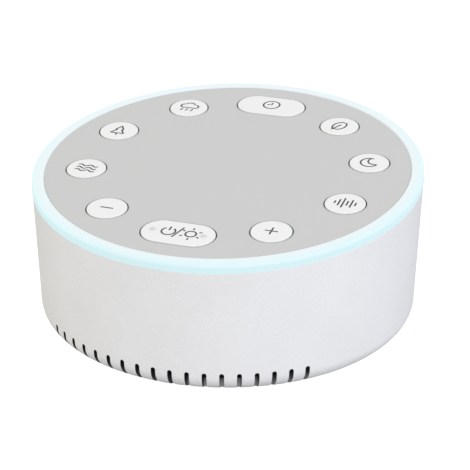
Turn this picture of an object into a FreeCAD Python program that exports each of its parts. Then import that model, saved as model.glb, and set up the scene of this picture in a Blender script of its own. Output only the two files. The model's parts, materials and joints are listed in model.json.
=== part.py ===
import FreeCAD, Part
import math
import os

# White noise sound machine: a low round housing with a sloping deck, ten press keys,
# a glowing ring round the deck and sound slots in the bottom front edge.
# Millimetres. +Z is up, the slots face -Y, and the origin is the middle of the resting plane.
# The deck and all that hangs under it are made in the deck's own level frame, whose zero is
# the middle of the panel's top face, and are then tilted into place.

Vec = FreeCAD.Vector

# Housing
DECK_HEIGHT = 48.0
DECK_TILT = 5.3
SEAM_RADIUS = 60.0
SEAM_STEP = 0.13
WALL_TAPER = 1.6
WALL_TOP_ALLOWANCE = 8.0
EDGE_ROUND_HEIGHT = 6.6
EDGE_ROUND_WIDTH = 9.1
EDGE_ROUND_STEPS = 3
WALL = 2.0
LIP_THICKNESS = 2.2
LIP_WIDTH = 6.2

# Sound slots
SLOT_COUNT = 18
SLOT_PITCH = 5.0
SLOT_WIDTH = 1.4
SLOT_TOP = 7.8
SLOT_REACH = 5.1

# Deck: panel and light ring
RING_WIDTH = 3.8
PANEL_THICKNESS = 2.0
PANEL_EDGE_GAP = 0.1
RING_FACE_HEIGHT = 2.63
RING_PROUD = 0.35
RING_OUTER_ROUND = 1.3
RING_TONGUE_GAP = 0.3
PANEL_SEAT_WIDTH = 4.2
LIGHT_GUIDE_DEPTH = 3.6

# Keys
KEY_RING_INSET = 12.8
KEY_NAMES = (
    "timer_key",
    "rain_key",
    "forest_key",
    "ocean_key",
    "volume_down_key",
    "power_light_key",
    "volume_up_key",
    "white_noise_key",
    "calm_key",
    "relax_key",
)
OVAL_KEYS = ("timer_key", "power_light_key")
ROUND_KEY_DIAMETER = 12.1
OVAL_KEY_LENGTH = 22.2
OVAL_KEY_WIDTH = 12.4
KEY_GAP = 0.28
KEY_PROUD = 0.3
KEY_EDGE_CHAMFER = 0.3
KEY_TAB_REACH = 0.9
KEY_TAB_WIDTH = 3.0
KEY_TAB_THICKNESS = 0.8
KEY_TAB_GAP = 0.15
KEY_TRAVEL = 0.7
STEM_SIDE = 4.0
STEM_LENGTH = 0.95
PIP_RADIUS = 0.95
PIP_CROWN_RADIUS = 0.5
PIP_HEIGHT = 0.35
PIP_SPREAD = 7.75

# Push switches under the keys
SWITCH_SIDE = 6.0
SWITCH_BODY_HEIGHT = 3.1
PLUNGER_SIDE = 3.0
PLUNGER_RUNNING_GAP = 0.08
PLUNGER_PROUD = 0.9
PLUNGER_GUIDED = 1.4
PLUNGER_END_GAP = 0.2

# Control board
BOARD_WALL_GAP = 1.5
BOARD_THICKNESS = 1.6
LED_COUNT = 20
LED_LENGTH = 3.5
LED_WIDTH = 2.2
LED_GAP = 0.4

# Posts and screws that hold the board under the panel and the deck on the housing
POST_DIAMETER = 5.0
POST_ROOF = 0.5
BOARD_POST_INSET = 10.1
BOARD_POST_ANGLES = (69.0, 111.0, 249.0, 291.0)
CASE_POST_INSET = 7.6
CASE_POST_ANGLES = (36.0, 144.0, 216.0, 324.0)
SHELF_DEPTH = 4.0
SHELF_WIDTH = 7.0
SMALL_SHANK_DIAMETER = 1.9
SMALL_HEAD_DIAMETER = 3.8
SMALL_HEAD_HEIGHT = 1.4
SCREW_HOLE_GAP = 0.2
SCREW_SEAT_GAP = 0.03
SCREW_END_GAP = 0.5

# Small round pieces are many-sided prisms, their corners on the circle
POST_SIDES = 6
FOOT_SIDES = 16
SPEAKER_SIDES = 16
DISC_SIDES = 24

# Base cover, its screws and the feet
COVER_THICKNESS = 2.2
COVER_EDGE_GAP = 0.12
COLUMN_INSET = 6.6
COLUMN_ANGLES = (50.0, 130.0, 230.0, 310.0)
COLUMN_DIAMETER = 7.0
COLUMN_HEIGHT = 22.0
COLUMN_RIB_WIDTH = 1.8
BASE_SHANK_DIAMETER = 2.6
BASE_SHANK_LENGTH = 10.0
BASE_HEAD_DIAMETER = 5.0
BASE_HEAD_HEIGHT = 1.0
BASE_HEAD_SUNK = 0.2
BASE_HEAD_GAP = 0.3
FOOT_RADIUS = 5.0
FOOT_PROUD = 1.0
FOOT_RECESS = 0.8
FOOT_GAP = 0.1
FOOT_INSET = 16.2
FOOT_ANGLES = (45.0, 135.0, 225.0, 315.0)

# Speaker baffle and speaker, cone facing down
CHAMBER_HEIGHT = 7.4
BAFFLE_THICKNESS = 2.0
BAFFLE_WALL_GAP = 0.4
BAFFLE_NOTCH_GAP = 0.3
SPEAKER_RADIUS = 26.0
SPEAKER_EAR_REACH = 2.5
SPEAKER_EAR_RADIUS = 3.2
SPEAKER_EAR_ANGLES = (45.0, 135.0, 225.0, 315.0)
SPEAKER_FLANGE = 1.0
GASKET_WIDTH = 2.5
GASKET_THICKNESS = 0.8
BASKET_WALL = 0.8
BASKET_DEPTH = 11.0
BASKET_WINDOWS = 4
BASKET_WINDOW_WIDTH = 15.0
BASKET_WINDOW_EDGE = 1.6
MAGNET_RADIUS = 15.5
MAGNET_HEIGHT = 9.0
POLE_RADIUS = 6.4
COIL_RADIUS = 7.2
COIL_WALL = 0.4
COIL_GAP = 0.5
COIL_REACH = 3.0
CONE_THICKNESS = 0.4
CONE_DEPTH = 6.0
SURROUND_WIDTH = 3.0
SURROUND_THICKNESS = 0.4
SURROUND_RISE = 1.0
SURROUND_GAP = 0.15
DUST_CAP_RISE = 1.6

# Power inlet at the back
SOCKET_WIDTH = 8.94
SOCKET_HEIGHT = 3.26
SOCKET_LENGTH = 7.4
SOCKET_WALL = 0.3
SOCKET_WALL_GAP = 0.15
SOCKET_INSET = 0.9
TONGUE_WIDTH = 6.7
TONGUE_THICKNESS = 0.7
TONGUE_SETBACK = 0.6
PLUG_RECESS_MARGIN = 1.6
PLUG_RECESS_DEPTH = 0.6
POWER_BOARD_LENGTH = 13.0
POWER_BOARD_WIDTH = 22.0
POWER_BOARD_THICKNESS = 1.2
POWER_POST_HEIGHT = 2.0
POWER_SCREW_SPREAD = 7.5
POWER_SCREW_SETBACK = 9.5

# Parts on the underside of the control board: length, width and height, and their places
SOUND_CHIP = (10.3, 7.5, 2.3)
SOUND_CHIP_PLACE = (0.0, 33.0)
SOUND_CHIP_LEGS = 8
AMPLIFIER_CHIP = (4.9, 3.9, 1.5)
AMPLIFIER_PLACE = (-24.0, 26.0)
AMPLIFIER_LEGS = 4
LEG_PITCH = 1.27
LEG_WIDTH = 0.42
LEG_REACH = 1.1
LEG_THICKNESS = 0.3
CAPACITOR_DIAMETER = 6.3
CAPACITOR_HEIGHT = 7.0
CAPACITOR_BASE_HEIGHT = 0.8
CAPACITOR_PLACES = ((-33.0, 14.0), (-35.0, 5.0))
CONNECTOR = (7.4, 5.7, 5.0)
CONNECTOR_WALL = 0.7
CONNECTOR_PLACES = ((26.0, 26.0), (33.0, 8.0))

# Levels and radii worked out from the sizes above, from the resting plane up
TILT = math.radians(DECK_TILT)
BASE_LEVEL = FOOT_PROUD
DECK_LEVEL = BASE_LEVEL + DECK_HEIGHT
COVER_TOP = BASE_LEVEL + COVER_THICKNESS
ROUND_START = BASE_LEVEL + EDGE_ROUND_HEIGHT
WALL_FOOT_RADIUS = SEAM_RADIUS - WALL_TAPER
FLAT_RADIUS = WALL_FOOT_RADIUS - EDGE_ROUND_WIDTH
INNER_RADIUS = WALL_FOOT_RADIUS - WALL
LIP_RADIUS = WALL_FOOT_RADIUS - LIP_WIDTH
SLOT_END_RADIUS = WALL_FOOT_RADIUS - SLOT_REACH
COVER_RADIUS = LIP_RADIUS - COVER_EDGE_GAP
COLUMN_RADIUS = LIP_RADIUS - COLUMN_INSET
FOOT_CIRCLE = LIP_RADIUS - FOOT_INSET
BOARD_RADIUS = INNER_RADIUS - BOARD_WALL_GAP
SPEAKER_EAR_CIRCLE = SPEAKER_RADIUS + SPEAKER_EAR_REACH
BAFFLE_BOTTOM = COVER_TOP + CHAMBER_HEIGHT
BAFFLE_TOP = BAFFLE_BOTTOM + BAFFLE_THICKNESS
SPEAKER_FACE = BAFFLE_TOP + GASKET_THICKNESS
POWER_BOARD_LEVEL = BAFFLE_TOP + POWER_POST_HEIGHT
SOCKET_LEVEL = POWER_BOARD_LEVEL + POWER_BOARD_THICKNESS + SOCKET_HEIGHT / 2

# Radii and levels in the deck's frame, the levels from the panel's top face down
RING_INNER_RADIUS = SEAM_RADIUS - RING_WIDTH
PANEL_RADIUS = RING_INNER_RADIUS - PANEL_EDGE_GAP
LIGHT_GUIDE_RADIUS = RING_INNER_RADIUS - PANEL_SEAT_WIDTH
KEY_RING_RADIUS = PANEL_RADIUS - KEY_RING_INSET
BOARD_POST_RADIUS = PANEL_RADIUS - BOARD_POST_INSET
CASE_POST_RADIUS = PANEL_RADIUS - CASE_POST_INSET
PANEL_UNDERSIDE = -PANEL_THICKNESS
TAB_TOP = PANEL_UNDERSIDE - KEY_TAB_GAP
TAB_BOTTOM = TAB_TOP - KEY_TAB_THICKNESS
PLUNGER_TOP = TAB_BOTTOM - STEM_LENGTH
SWITCH_TOP = PLUNGER_TOP - PLUNGER_PROUD
BOARD_TOP = SWITCH_TOP - SWITCH_BODY_HEIGHT
BOARD_UNDERSIDE = BOARD_TOP - BOARD_THICKNESS
SHELF_UNDERSIDE = BOARD_UNDERSIDE - SHELF_DEPTH
LIGHT_GUIDE_END = PANEL_UNDERSIDE - LIGHT_GUIDE_DEPTH

UP = Vec(0, 0, 1)
DECK_PLACE = FreeCAD.Placement(Vec(0, 0, DECK_LEVEL), FreeCAD.Rotation(Vec(1, 0, 0), DECK_TILT))


def on_deck(shape):
    """Tilt a shape made in the deck's level frame into its place."""
    placed = shape.copy()
    placed.Placement = DECK_PLACE.multiply(shape.Placement)
    return placed


def polar(radius, angle, level=0.0):
    """A point at a radius and an angle in degrees, at a level."""
    turn = math.radians(angle)
    return Vec(radius * math.cos(turn), radius * math.sin(turn), level)


def turned(shape, angle):
    """A copy turned about the upright axis."""
    copy = shape.copy()
    copy.rotate(Vec(0, 0, 0), UP, angle)
    return copy


def upright(radius, bottom, top, centre=None):
    """An upright cylinder between two levels."""
    middle = centre if centre is not None else Vec(0, 0, 0)
    return Part.makeCylinder(radius, top - bottom, Vec(middle.x, middle.y, bottom))


def tube(outer, inner, bottom, top, centre=None):
    """An upright ring between two levels."""
    return upright(outer, bottom, top, centre).cut(upright(inner, bottom, top, centre))


def block(length, width, bottom, top, centre=None):
    """A box centred in plan on a point, between two levels."""
    middle = centre if centre is not None else Vec(0, 0, 0)
    corner = Vec(middle.x - length / 2, middle.y - width / 2, bottom)
    return Part.makeBox(length, width, top - bottom, corner)


def fused(shapes):
    """One solid from shapes that overlap or touch."""
    if len(shapes) == 1:
        return shapes[0]
    return shapes[0].multiFuse(shapes[1:]).removeSplitter()


def line(start, end):
    """A straight edge between two (radius, level) points of an upright section."""
    return Part.LineSegment(Vec(start[0], 0, start[1]), Vec(end[0], 0, end[1])).toShape()


def spun_outline(points):
    """A solid of revolution from the corners of a straight-sided section."""
    closed = list(points) + [points[0]]
    wire = Part.Wire([line(a, b) for a, b in zip(closed, closed[1:])])
    return Part.Face(wire).revolve(Vec(0, 0, 0), UP, 360)


def corner_angle(index, sides):
    """The place of a many-sided piece's corner."""
    return (index + 0.5) * 360.0 / sides


def sided(radius, sides, bottom, top, centre=None):
    """An upright prism between two levels, its corners on a circle."""
    middle = Vec(centre.x, centre.y, 0) if centre is not None else Vec(0, 0, 0)
    corners = [middle + polar(radius, corner_angle(n, sides), bottom) for n in range(sides)]
    face = Part.Face(Part.makePolygon(corners + [corners[0]]))
    return face.extrude(Vec(0, 0, top - bottom))


def sided_outline(points, sides):
    """A straight-sided section carried round the upright axis in flat steps."""
    faces = []
    for index in range(sides):
        near = corner_angle(index, sides)
        far = corner_angle(index + 1, sides)
        for start, end in zip(points, list(points[1:]) + [points[0]]):
            corners = [polar(start[0], near, start[1]), polar(end[0], near, end[1])]
            if end[0] > 0:
                corners.append(polar(end[0], far, end[1]))
            if start[0] > 0:
                corners.append(polar(start[0], far, start[1]))
            if len(corners) > 2:
                faces.append(Part.Face(Part.makePolygon(corners + [corners[0]])))
    shell = Part.makeShell(faces)
    shell.sewShape()
    solid = Part.makeSolid(shell)
    if solid.Volume < 0:
        solid.reverse()
    return solid.removeSplitter()


def stadium(length, width, bottom, top):
    """A round-ended prism, long along X, centred on the upright axis."""
    radius = width / 2
    reach = length / 2 - radius
    if reach < 1e-6:
        return upright(radius, bottom, top)
    back = Part.LineSegment(Vec(reach, radius, bottom), Vec(-reach, radius, bottom))
    front = Part.LineSegment(Vec(-reach, -radius, bottom), Vec(reach, -radius, bottom))
    left = Part.Arc(
        Vec(-reach, radius, bottom), Vec(-reach - radius, 0, bottom), Vec(-reach, -radius, bottom)
    )
    right = Part.Arc(
        Vec(reach, -radius, bottom), Vec(reach + radius, 0, bottom), Vec(reach, radius, bottom)
    )
    wire = Part.Wire([back.toShape(), left.toShape(), front.toShape(), right.toShape()])
    return Part.Face(wire).extrude(Vec(0, 0, top - bottom))


def chamfer_top_edge(shape, size):
    """Cut the edges that lie in the shape's highest level."""
    top = shape.BoundBox.ZMax
    edges = [e for e in shape.Edges if e.BoundBox.ZMin > top - 1e-4]
    return shape.makeChamfer(size, edges)


def screw(shank_diameter, length, head_diameter, head_height):
    """A screw with its head down and its seat at level zero, pointing up."""
    head = sided(head_diameter / 2, POST_SIDES, -head_height, 0)
    return fused([head, sided(shank_diameter / 2, POST_SIDES, 0, length)])


def pilot_radius(shank_diameter):
    """The bore that a screw's shank sits in."""
    return shank_diameter / 2 + SCREW_SEAT_GAP


def hole_radius(shank_diameter):
    """The free hole that a screw passes through."""
    return shank_diameter / 2 + SCREW_HOLE_GAP


def key_angle(index):
    """The place of a key on its ring, counted from the back."""
    return 90.0 + index * 360.0 / len(KEY_NAMES)


def key_place(index):
    """The middle of a key in the deck's frame."""
    return polar(KEY_RING_RADIUS, key_angle(index))


def key_size(name):
    """The length and width of a key's cap."""
    if name in OVAL_KEYS:
        return OVAL_KEY_LENGTH, OVAL_KEY_WIDTH
    return ROUND_KEY_DIAMETER, ROUND_KEY_DIAMETER


def edge_point(turn):
    """A point of the rounded bottom edge, from its lowest at 0 degrees to the wall at 90."""
    angle = math.radians(turn)
    radius = FLAT_RADIUS + EDGE_ROUND_WIDTH * math.sin(angle)
    return radius, ROUND_START - EDGE_ROUND_HEIGHT * math.cos(angle)


def edge_turn(radius):
    """Where the rounded bottom edge reaches a radius, in degrees."""
    return math.degrees(math.asin((radius - FLAT_RADIUS) / EDGE_ROUND_WIDTH))


def wall_radius(level):
    """The outside of the tapered wall at a level."""
    seam_level = DECK_LEVEL - RING_FACE_HEIGHT * math.cos(TILT)
    seam_radius = SEAM_RADIUS - SEAM_STEP
    share = (level - ROUND_START) / (seam_level - ROUND_START)
    return WALL_FOOT_RADIUS + share * (seam_radius - WALL_FOOT_RADIUS)


def wall_shell():
    """The tapered wall with its rounded bottom edge and lip, cut off along the tilted seam."""
    top = DECK_LEVEL + WALL_TOP_ALLOWANCE
    start = edge_turn(LIP_RADIUS)
    step = (90.0 - start) / EDGE_ROUND_STEPS
    outline = [edge_point(start + n * step) for n in range(EDGE_ROUND_STEPS + 1)]
    lip_top = outline[0][1] + LIP_THICKNESS
    outline += [
        (wall_radius(top), top),
        (INNER_RADIUS, top),
        (INNER_RADIUS, ROUND_START),
        (LIP_RADIUS, lip_top),
    ]
    above = block(4 * SEAM_RADIUS, 4 * SEAM_RADIUS, -RING_FACE_HEIGHT, 4 * WALL_TOP_ALLOWANCE)
    return spun_outline(outline).cut(on_deck(above))


def slot_cutter():
    """One slot, cut outward along +X through the lip and the foot of the wall."""
    reach = SEAM_RADIUS - SLOT_END_RADIUS
    middle = Vec(SLOT_END_RADIUS + reach / 2, 0, 0)
    return block(reach, SLOT_WIDTH, 0, BASE_LEVEL + SLOT_TOP, middle)


def column_solid():
    """A screw column with the rib that joins it to the wall, along +X."""
    top = COVER_TOP + COLUMN_HEIGHT
    wall_middle = WALL_FOOT_RADIUS - WALL / 2
    column = sided(COLUMN_DIAMETER / 2, POST_SIDES, COVER_TOP, top, Vec(COLUMN_RADIUS, 0, 0))
    reach = wall_middle - COLUMN_RADIUS
    middle = Vec(COLUMN_RADIUS + reach / 2, 0, 0)
    rib = block(reach, COLUMN_RIB_WIDTH, ROUND_START, top, middle)
    return fused([column, rib])


def socket_hole(grow, start, end):
    """A round-ended hole through the back wall at the inlet, between two distances."""
    shape = stadium(SOCKET_WIDTH + 2 * grow, SOCKET_HEIGHT + 2 * grow, start, end)
    shape.rotate(Vec(0, 0, 0), Vec(1, 0, 0), -90)
    shape.translate(Vec(0, 0, SOCKET_LEVEL))
    return shape


def back_wall_radius():
    """The outside of the back wall at the inlet's level."""
    return wall_radius(SOCKET_LEVEL)


def housing_shell():
    """The outer wall with its bottom lip, slots, inlet hole, columns and shelves."""
    columns = [turned(column_solid(), angle) for angle in COLUMN_ANGLES]
    shelves = [on_deck(turned(shelf_solid(), angle)) for angle in CASE_POST_ANGLES]
    shell = fused([wall_shell()] + columns + shelves)
    half_spread = (SLOT_COUNT - 1) * SLOT_PITCH / 2
    slots = [turned(slot_cutter(), 270 - half_spread + n * SLOT_PITCH) for n in range(SLOT_COUNT)]
    bore_top = COVER_TOP + BASE_SHANK_LENGTH + SCREW_END_GAP
    bore_radius = pilot_radius(BASE_SHANK_DIAMETER)
    pilots = [
        sided(bore_radius, POST_SIDES, COVER_TOP, bore_top, polar(COLUMN_RADIUS, angle))
        for angle in COLUMN_ANGLES
    ]
    hole = hole_radius(SMALL_SHANK_DIAMETER)
    shelf_holes = [
        on_deck(sided(hole, POST_SIDES, SHELF_UNDERSIDE, BOARD_UNDERSIDE, place))
        for place in case_post_places()
    ]
    back = back_wall_radius()
    inlet = socket_hole(SOCKET_WALL_GAP, INNER_RADIUS - WALL, back + WALL)
    recess = socket_hole(PLUG_RECESS_MARGIN, back - PLUG_RECESS_DEPTH, back + WALL)
    return shell.cut(slots + pilots + shelf_holes + [inlet, recess])


def shelf_solid():
    """A shelf on the wall under the board's edge, along +X in the deck's frame."""
    start = CASE_POST_RADIUS - SHELF_WIDTH / 2
    end = (INNER_RADIUS + SEAM_RADIUS) / 2
    middle = Vec((start + end) / 2, 0, 0)
    return block(end - start, SHELF_WIDTH, SHELF_UNDERSIDE, BOARD_UNDERSIDE, middle)


def board_post_places():
    """The places of the posts that hold the board alone."""
    return [polar(BOARD_POST_RADIUS, angle) for angle in BOARD_POST_ANGLES]


def case_post_places():
    """The places of the posts that hold the deck on the housing."""
    return [polar(CASE_POST_RADIUS, angle) for angle in CASE_POST_ANGLES]


def speaker_ear_places():
    """The places of the speaker's four ears."""
    return [polar(SPEAKER_EAR_CIRCLE, angle) for angle in SPEAKER_EAR_ANGLES]


def base_cover():
    """The closing disc with posts for the baffle, screw holes and foot recesses."""
    disc = spun_outline(
        [
            (0, BASE_LEVEL),
            (FLAT_RADIUS, BASE_LEVEL),
            edge_point(edge_turn(COVER_RADIUS)),
            (COVER_RADIUS, COVER_TOP),
            (0, COVER_TOP),
        ]
    )
    post_places = speaker_ear_places() + power_screw_places()
    posts = [
        sided(SPEAKER_EAR_RADIUS, POST_SIDES, COVER_TOP, BAFFLE_BOTTOM, place)
        for place in post_places
    ]
    head_level = BASE_LEVEL + BASE_HEAD_HEIGHT + BASE_HEAD_SUNK
    head_bore = BASE_HEAD_DIAMETER / 2 + BASE_HEAD_GAP
    foot_bore = FOOT_RADIUS + FOOT_GAP
    pilot = pilot_radius(SMALL_SHANK_DIAMETER)
    bores = []
    for angle in COLUMN_ANGLES:
        place = polar(COLUMN_RADIUS, angle)
        hole = hole_radius(BASE_SHANK_DIAMETER)
        bores.append(sided(hole, POST_SIDES, BASE_LEVEL, COVER_TOP, place))
        bores.append(sided(head_bore, POST_SIDES, BASE_LEVEL, head_level, place))
    for angle in FOOT_ANGLES:
        place = polar(FOOT_CIRCLE, angle)
        bores.append(sided(foot_bore, FOOT_SIDES, BASE_LEVEL, BASE_LEVEL + FOOT_RECESS, place))
    for place in post_places:
        bores.append(sided(pilot, POST_SIDES, COVER_TOP, BAFFLE_BOTTOM, place))
    return fused([disc] + posts).cut(bores)


def rubber_feet():
    """Four feet pressed into the base cover's recesses."""
    top = BASE_LEVEL + FOOT_RECESS
    places = [polar(FOOT_CIRCLE, angle) for angle in FOOT_ANGLES]
    return Part.makeCompound([sided(FOOT_RADIUS, FOOT_SIDES, 0, top, place) for place in places])


def base_screws():
    """Screws up through the base cover into the housing's columns."""
    seat = BASE_LEVEL + BASE_HEAD_SUNK + BASE_HEAD_HEIGHT
    length = COVER_TOP + BASE_SHANK_LENGTH - seat
    one = screw(BASE_SHANK_DIAMETER, length, BASE_HEAD_DIAMETER, BASE_HEAD_HEIGHT)
    return copies_at(one, [polar(COLUMN_RADIUS, angle, seat) for angle in COLUMN_ANGLES])


def copies_at(shape, places):
    """Separate solids of one shape, moved to places."""
    copies = []
    for place in places:
        copy = shape.copy()
        copy.translate(place)
        copies.append(copy)
    return Part.makeCompound(copies)


def top_panel():
    """The flat grey deck plate with its key openings and the posts under it."""
    openings = []
    for index, name in enumerate(KEY_NAMES):
        length, width = key_size(name)
        opening = stadium(length + 2 * KEY_GAP, width + 2 * KEY_GAP, PANEL_UNDERSIDE, 0)
        opening.translate(key_place(index))
        openings.append(opening)
    plate = upright(PANEL_RADIUS, PANEL_UNDERSIDE, 0).cut(openings)
    places = board_post_places() + case_post_places()
    pilot = pilot_radius(SMALL_SHANK_DIAMETER)
    bore_top = PANEL_UNDERSIDE - POST_ROOF
    posts = [
        sided(POST_DIAMETER / 2, POST_SIDES, BOARD_TOP, PANEL_UNDERSIDE, place) for place in places
    ]
    bores = [sided(pilot, POST_SIDES, BOARD_TOP, bore_top, place) for place in places]
    return on_deck(fused([plate] + posts).cut(bores))


def tongue_radius():
    """The ring's tongue, clear of the upright inner wall although the deck is tilted."""
    depth = -LIGHT_GUIDE_END
    return (INNER_RADIUS - RING_TONGUE_GAP - depth * math.sin(TILT)) / math.cos(TILT)


def light_ring():
    """The milky ring round the deck, with its seat for the panel and its light guide foot."""
    crown = RING_PROUD
    seam = -RING_FACE_HEIGHT
    middle = RING_OUTER_ROUND * (1.0 - math.sqrt(0.5))
    outline = [
        (SEAM_RADIUS, seam),
        (SEAM_RADIUS, crown - RING_OUTER_ROUND),
        (SEAM_RADIUS - middle, crown - middle),
        (SEAM_RADIUS - RING_OUTER_ROUND, crown),
        (RING_INNER_RADIUS, crown),
        (RING_INNER_RADIUS, PANEL_UNDERSIDE),
        (LIGHT_GUIDE_RADIUS, PANEL_UNDERSIDE),
        (LIGHT_GUIDE_RADIUS, LIGHT_GUIDE_END),
        (tongue_radius(), LIGHT_GUIDE_END),
        (tongue_radius(), seam),
    ]
    return on_deck(spun_outline(outline))


def key_cap(name, index):
    """A key: cap with a cut edge, two tabs under the panel and a stem for its switch."""
    length, width = key_size(name)
    cap = chamfer_top_edge(stadium(length, width, TAB_BOTTOM, KEY_PROUD), KEY_EDGE_CHAMFER)
    tabs = block(length + 2 * KEY_TAB_REACH, KEY_TAB_WIDTH, TAB_BOTTOM, TAB_TOP)
    stem = block(STEM_SIDE, STEM_SIDE, PLUNGER_TOP, TAB_BOTTOM)
    solids = [cap, tabs, stem]
    if name == "power_light_key":
        solids += [pip(-PIP_SPREAD), pip(PIP_SPREAD)]
    whole = fused(solids)
    whole.translate(key_place(index))
    return on_deck(whole)


def pip(place):
    """A low raised dot on a key's top face, for finding the key by touch."""
    crown = KEY_PROUD + PIP_HEIGHT
    outline = [(0, KEY_PROUD), (PIP_RADIUS, KEY_PROUD), (PIP_CROWN_RADIUS, crown), (0, crown)]
    dot = sided_outline(outline, POST_SIDES)
    dot.translate(Vec(place, 0, 0))
    return dot


def switch_plunger(index):
    """The push switch's square plunger, which its key rests on."""
    plunger = block(PLUNGER_SIDE, PLUNGER_SIDE, SWITCH_TOP - PLUNGER_GUIDED, PLUNGER_TOP)
    plunger.translate(key_place(index))
    return on_deck(plunger)


def switch_bodies():
    """The ten switch bodies on the board, each with a well for its plunger."""
    well_side = PLUNGER_SIDE + 2 * PLUNGER_RUNNING_GAP
    well_bottom = SWITCH_TOP - PLUNGER_GUIDED - KEY_TRAVEL - PLUNGER_END_GAP
    body = block(SWITCH_SIDE, SWITCH_SIDE, BOARD_TOP, SWITCH_TOP)
    body = body.cut(block(well_side, well_side, well_bottom, SWITCH_TOP))
    return on_deck(copies_at(body, [key_place(index) for index in range(len(KEY_NAMES))]))


def control_board():
    """The round circuit board that the keys work on."""
    disc = sided(BOARD_RADIUS, DISC_SIDES, BOARD_UNDERSIDE, BOARD_TOP)
    radius = hole_radius(SMALL_SHANK_DIAMETER)
    places = board_post_places() + case_post_places()
    holes = [sided(radius, POST_SIDES, BOARD_UNDERSIDE, BOARD_TOP, place) for place in places]
    return on_deck(disc.cut(holes))


def board_screws():
    """Screws up through the board into the panel's posts."""
    length = PANEL_UNDERSIDE - POST_ROOF - BOARD_UNDERSIDE - SCREW_END_GAP
    one = screw(SMALL_SHANK_DIAMETER, length, SMALL_HEAD_DIAMETER, SMALL_HEAD_HEIGHT)
    seat = Vec(0, 0, BOARD_UNDERSIDE)
    return on_deck(copies_at(one, [place + seat for place in board_post_places()]))


def case_screws():
    """Screws up through the housing's shelves and the board into the panel's posts."""
    length = PANEL_UNDERSIDE - POST_ROOF - SHELF_UNDERSIDE - SCREW_END_GAP
    one = screw(SMALL_SHANK_DIAMETER, length, SMALL_HEAD_DIAMETER, SMALL_HEAD_HEIGHT)
    seat = Vec(0, 0, SHELF_UNDERSIDE)
    return on_deck(copies_at(one, [place + seat for place in case_post_places()]))


def ring_leds():
    """The lamps on the board's edge, under the light ring's foot."""
    radius = LIGHT_GUIDE_RADIUS + LED_WIDTH / 2
    top = LIGHT_GUIDE_END - LED_GAP
    lamp = block(LED_WIDTH, LED_LENGTH, BOARD_TOP, top, Vec(radius, 0, 0))
    turns = [(index + 0.5) * 360.0 / LED_COUNT for index in range(LED_COUNT)]
    return on_deck(Part.makeCompound([turned(lamp, turn) for turn in turns]))


def chip(size, legs, place):
    """A chip with two rows of legs, hanging under the board."""
    length, width, height = size
    bottom = BOARD_UNDERSIDE - height
    centre = Vec(place[0], place[1], 0)
    solids = [block(length, width, bottom, BOARD_UNDERSIDE, centre)]
    for index in range(legs):
        shift = (index - (legs - 1) / 2) * LEG_PITCH
        leg_centre = Vec(place[0] + shift, place[1], 0)
        span = width + 2 * LEG_REACH
        top = BOARD_UNDERSIDE
        solids.append(block(LEG_WIDTH, span, top - LEG_THICKNESS, top, leg_centre))
    return on_deck(fused(solids))


def capacitors():
    """Two can capacitors on square bases, hanging under the board."""
    base_level = BOARD_UNDERSIDE - CAPACITOR_BASE_HEIGHT
    bottom = base_level - CAPACITOR_HEIGHT
    base = block(CAPACITOR_DIAMETER, CAPACITOR_DIAMETER, base_level, BOARD_UNDERSIDE)
    can = sided(CAPACITOR_DIAMETER / 2, FOOT_SIDES, bottom, base_level)
    places = [Vec(place[0], place[1], 0) for place in CAPACITOR_PLACES]
    return on_deck(copies_at(fused([base, can]), places))


def board_connectors():
    """Two open-mouthed connectors under the board, for the speaker and the power leads."""
    length, width, height = CONNECTOR
    bottom = BOARD_UNDERSIDE - height
    shells = []
    for place in CONNECTOR_PLACES:
        centre = Vec(place[0], place[1], 0)
        outer = block(length, width, bottom, BOARD_UNDERSIDE, centre)
        inner_length = length - 2 * CONNECTOR_WALL
        inner_width = width - 2 * CONNECTOR_WALL
        inner = block(inner_length, inner_width, bottom, BOARD_UNDERSIDE - CONNECTOR_WALL, centre)
        shells.append(outer.cut(inner))
    return on_deck(Part.makeCompound(shells))


def power_screw_places():
    """The places of the power board's two screws."""
    back = INNER_RADIUS - POWER_SCREW_SETBACK
    return [Vec(-POWER_SCREW_SPREAD, back, 0), Vec(POWER_SCREW_SPREAD, back, 0)]


def speaker_baffle():
    """The plate that carries the speaker and closes the sound chamber below it."""
    plate = sided(INNER_RADIUS - BAFFLE_WALL_GAP, DISC_SIDES, BAFFLE_BOTTOM, BAFFLE_TOP)
    posts = [
        sided(SPEAKER_EAR_RADIUS, POST_SIDES, BAFFLE_TOP, POWER_BOARD_LEVEL, place)
        for place in power_screw_places()
    ]
    mouth = sided(SPEAKER_RADIUS - GASKET_WIDTH, SPEAKER_SIDES, BAFFLE_BOTTOM, BAFFLE_TOP)
    notches = [turned(column_notch(), angle) for angle in COLUMN_ANGLES]
    radius = hole_radius(SMALL_SHANK_DIAMETER)
    places = speaker_ear_places() + power_screw_places()
    holes = [
        sided(radius, POST_SIDES, BAFFLE_BOTTOM, POWER_BOARD_LEVEL, place) for place in places
    ]
    return fused([plate] + posts).cut([mouth] + notches + holes)


def column_notch():
    """The cut in the baffle's edge round a screw column, along +X."""
    radius = COLUMN_DIAMETER / 2 + BAFFLE_NOTCH_GAP
    well = sided(radius, POST_SIDES, BAFFLE_BOTTOM, BAFFLE_TOP, Vec(COLUMN_RADIUS, 0, 0))
    reach = WALL_FOOT_RADIUS - COLUMN_RADIUS
    width = COLUMN_RIB_WIDTH + 2 * BAFFLE_NOTCH_GAP
    way = block(reach, width, BAFFLE_BOTTOM, BAFFLE_TOP, Vec(COLUMN_RADIUS + reach / 2, 0, 0))
    return fused([well, way])


def speaker_gasket():
    """The soft ring between the speaker's frame and the baffle."""
    inner = SPEAKER_RADIUS - GASKET_WIDTH
    outline = [
        (inner, BAFFLE_TOP),
        (SPEAKER_RADIUS, BAFFLE_TOP),
        (SPEAKER_RADIUS, SPEAKER_FACE),
        (inner, SPEAKER_FACE),
    ]
    return sided_outline(outline, SPEAKER_SIDES)


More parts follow.
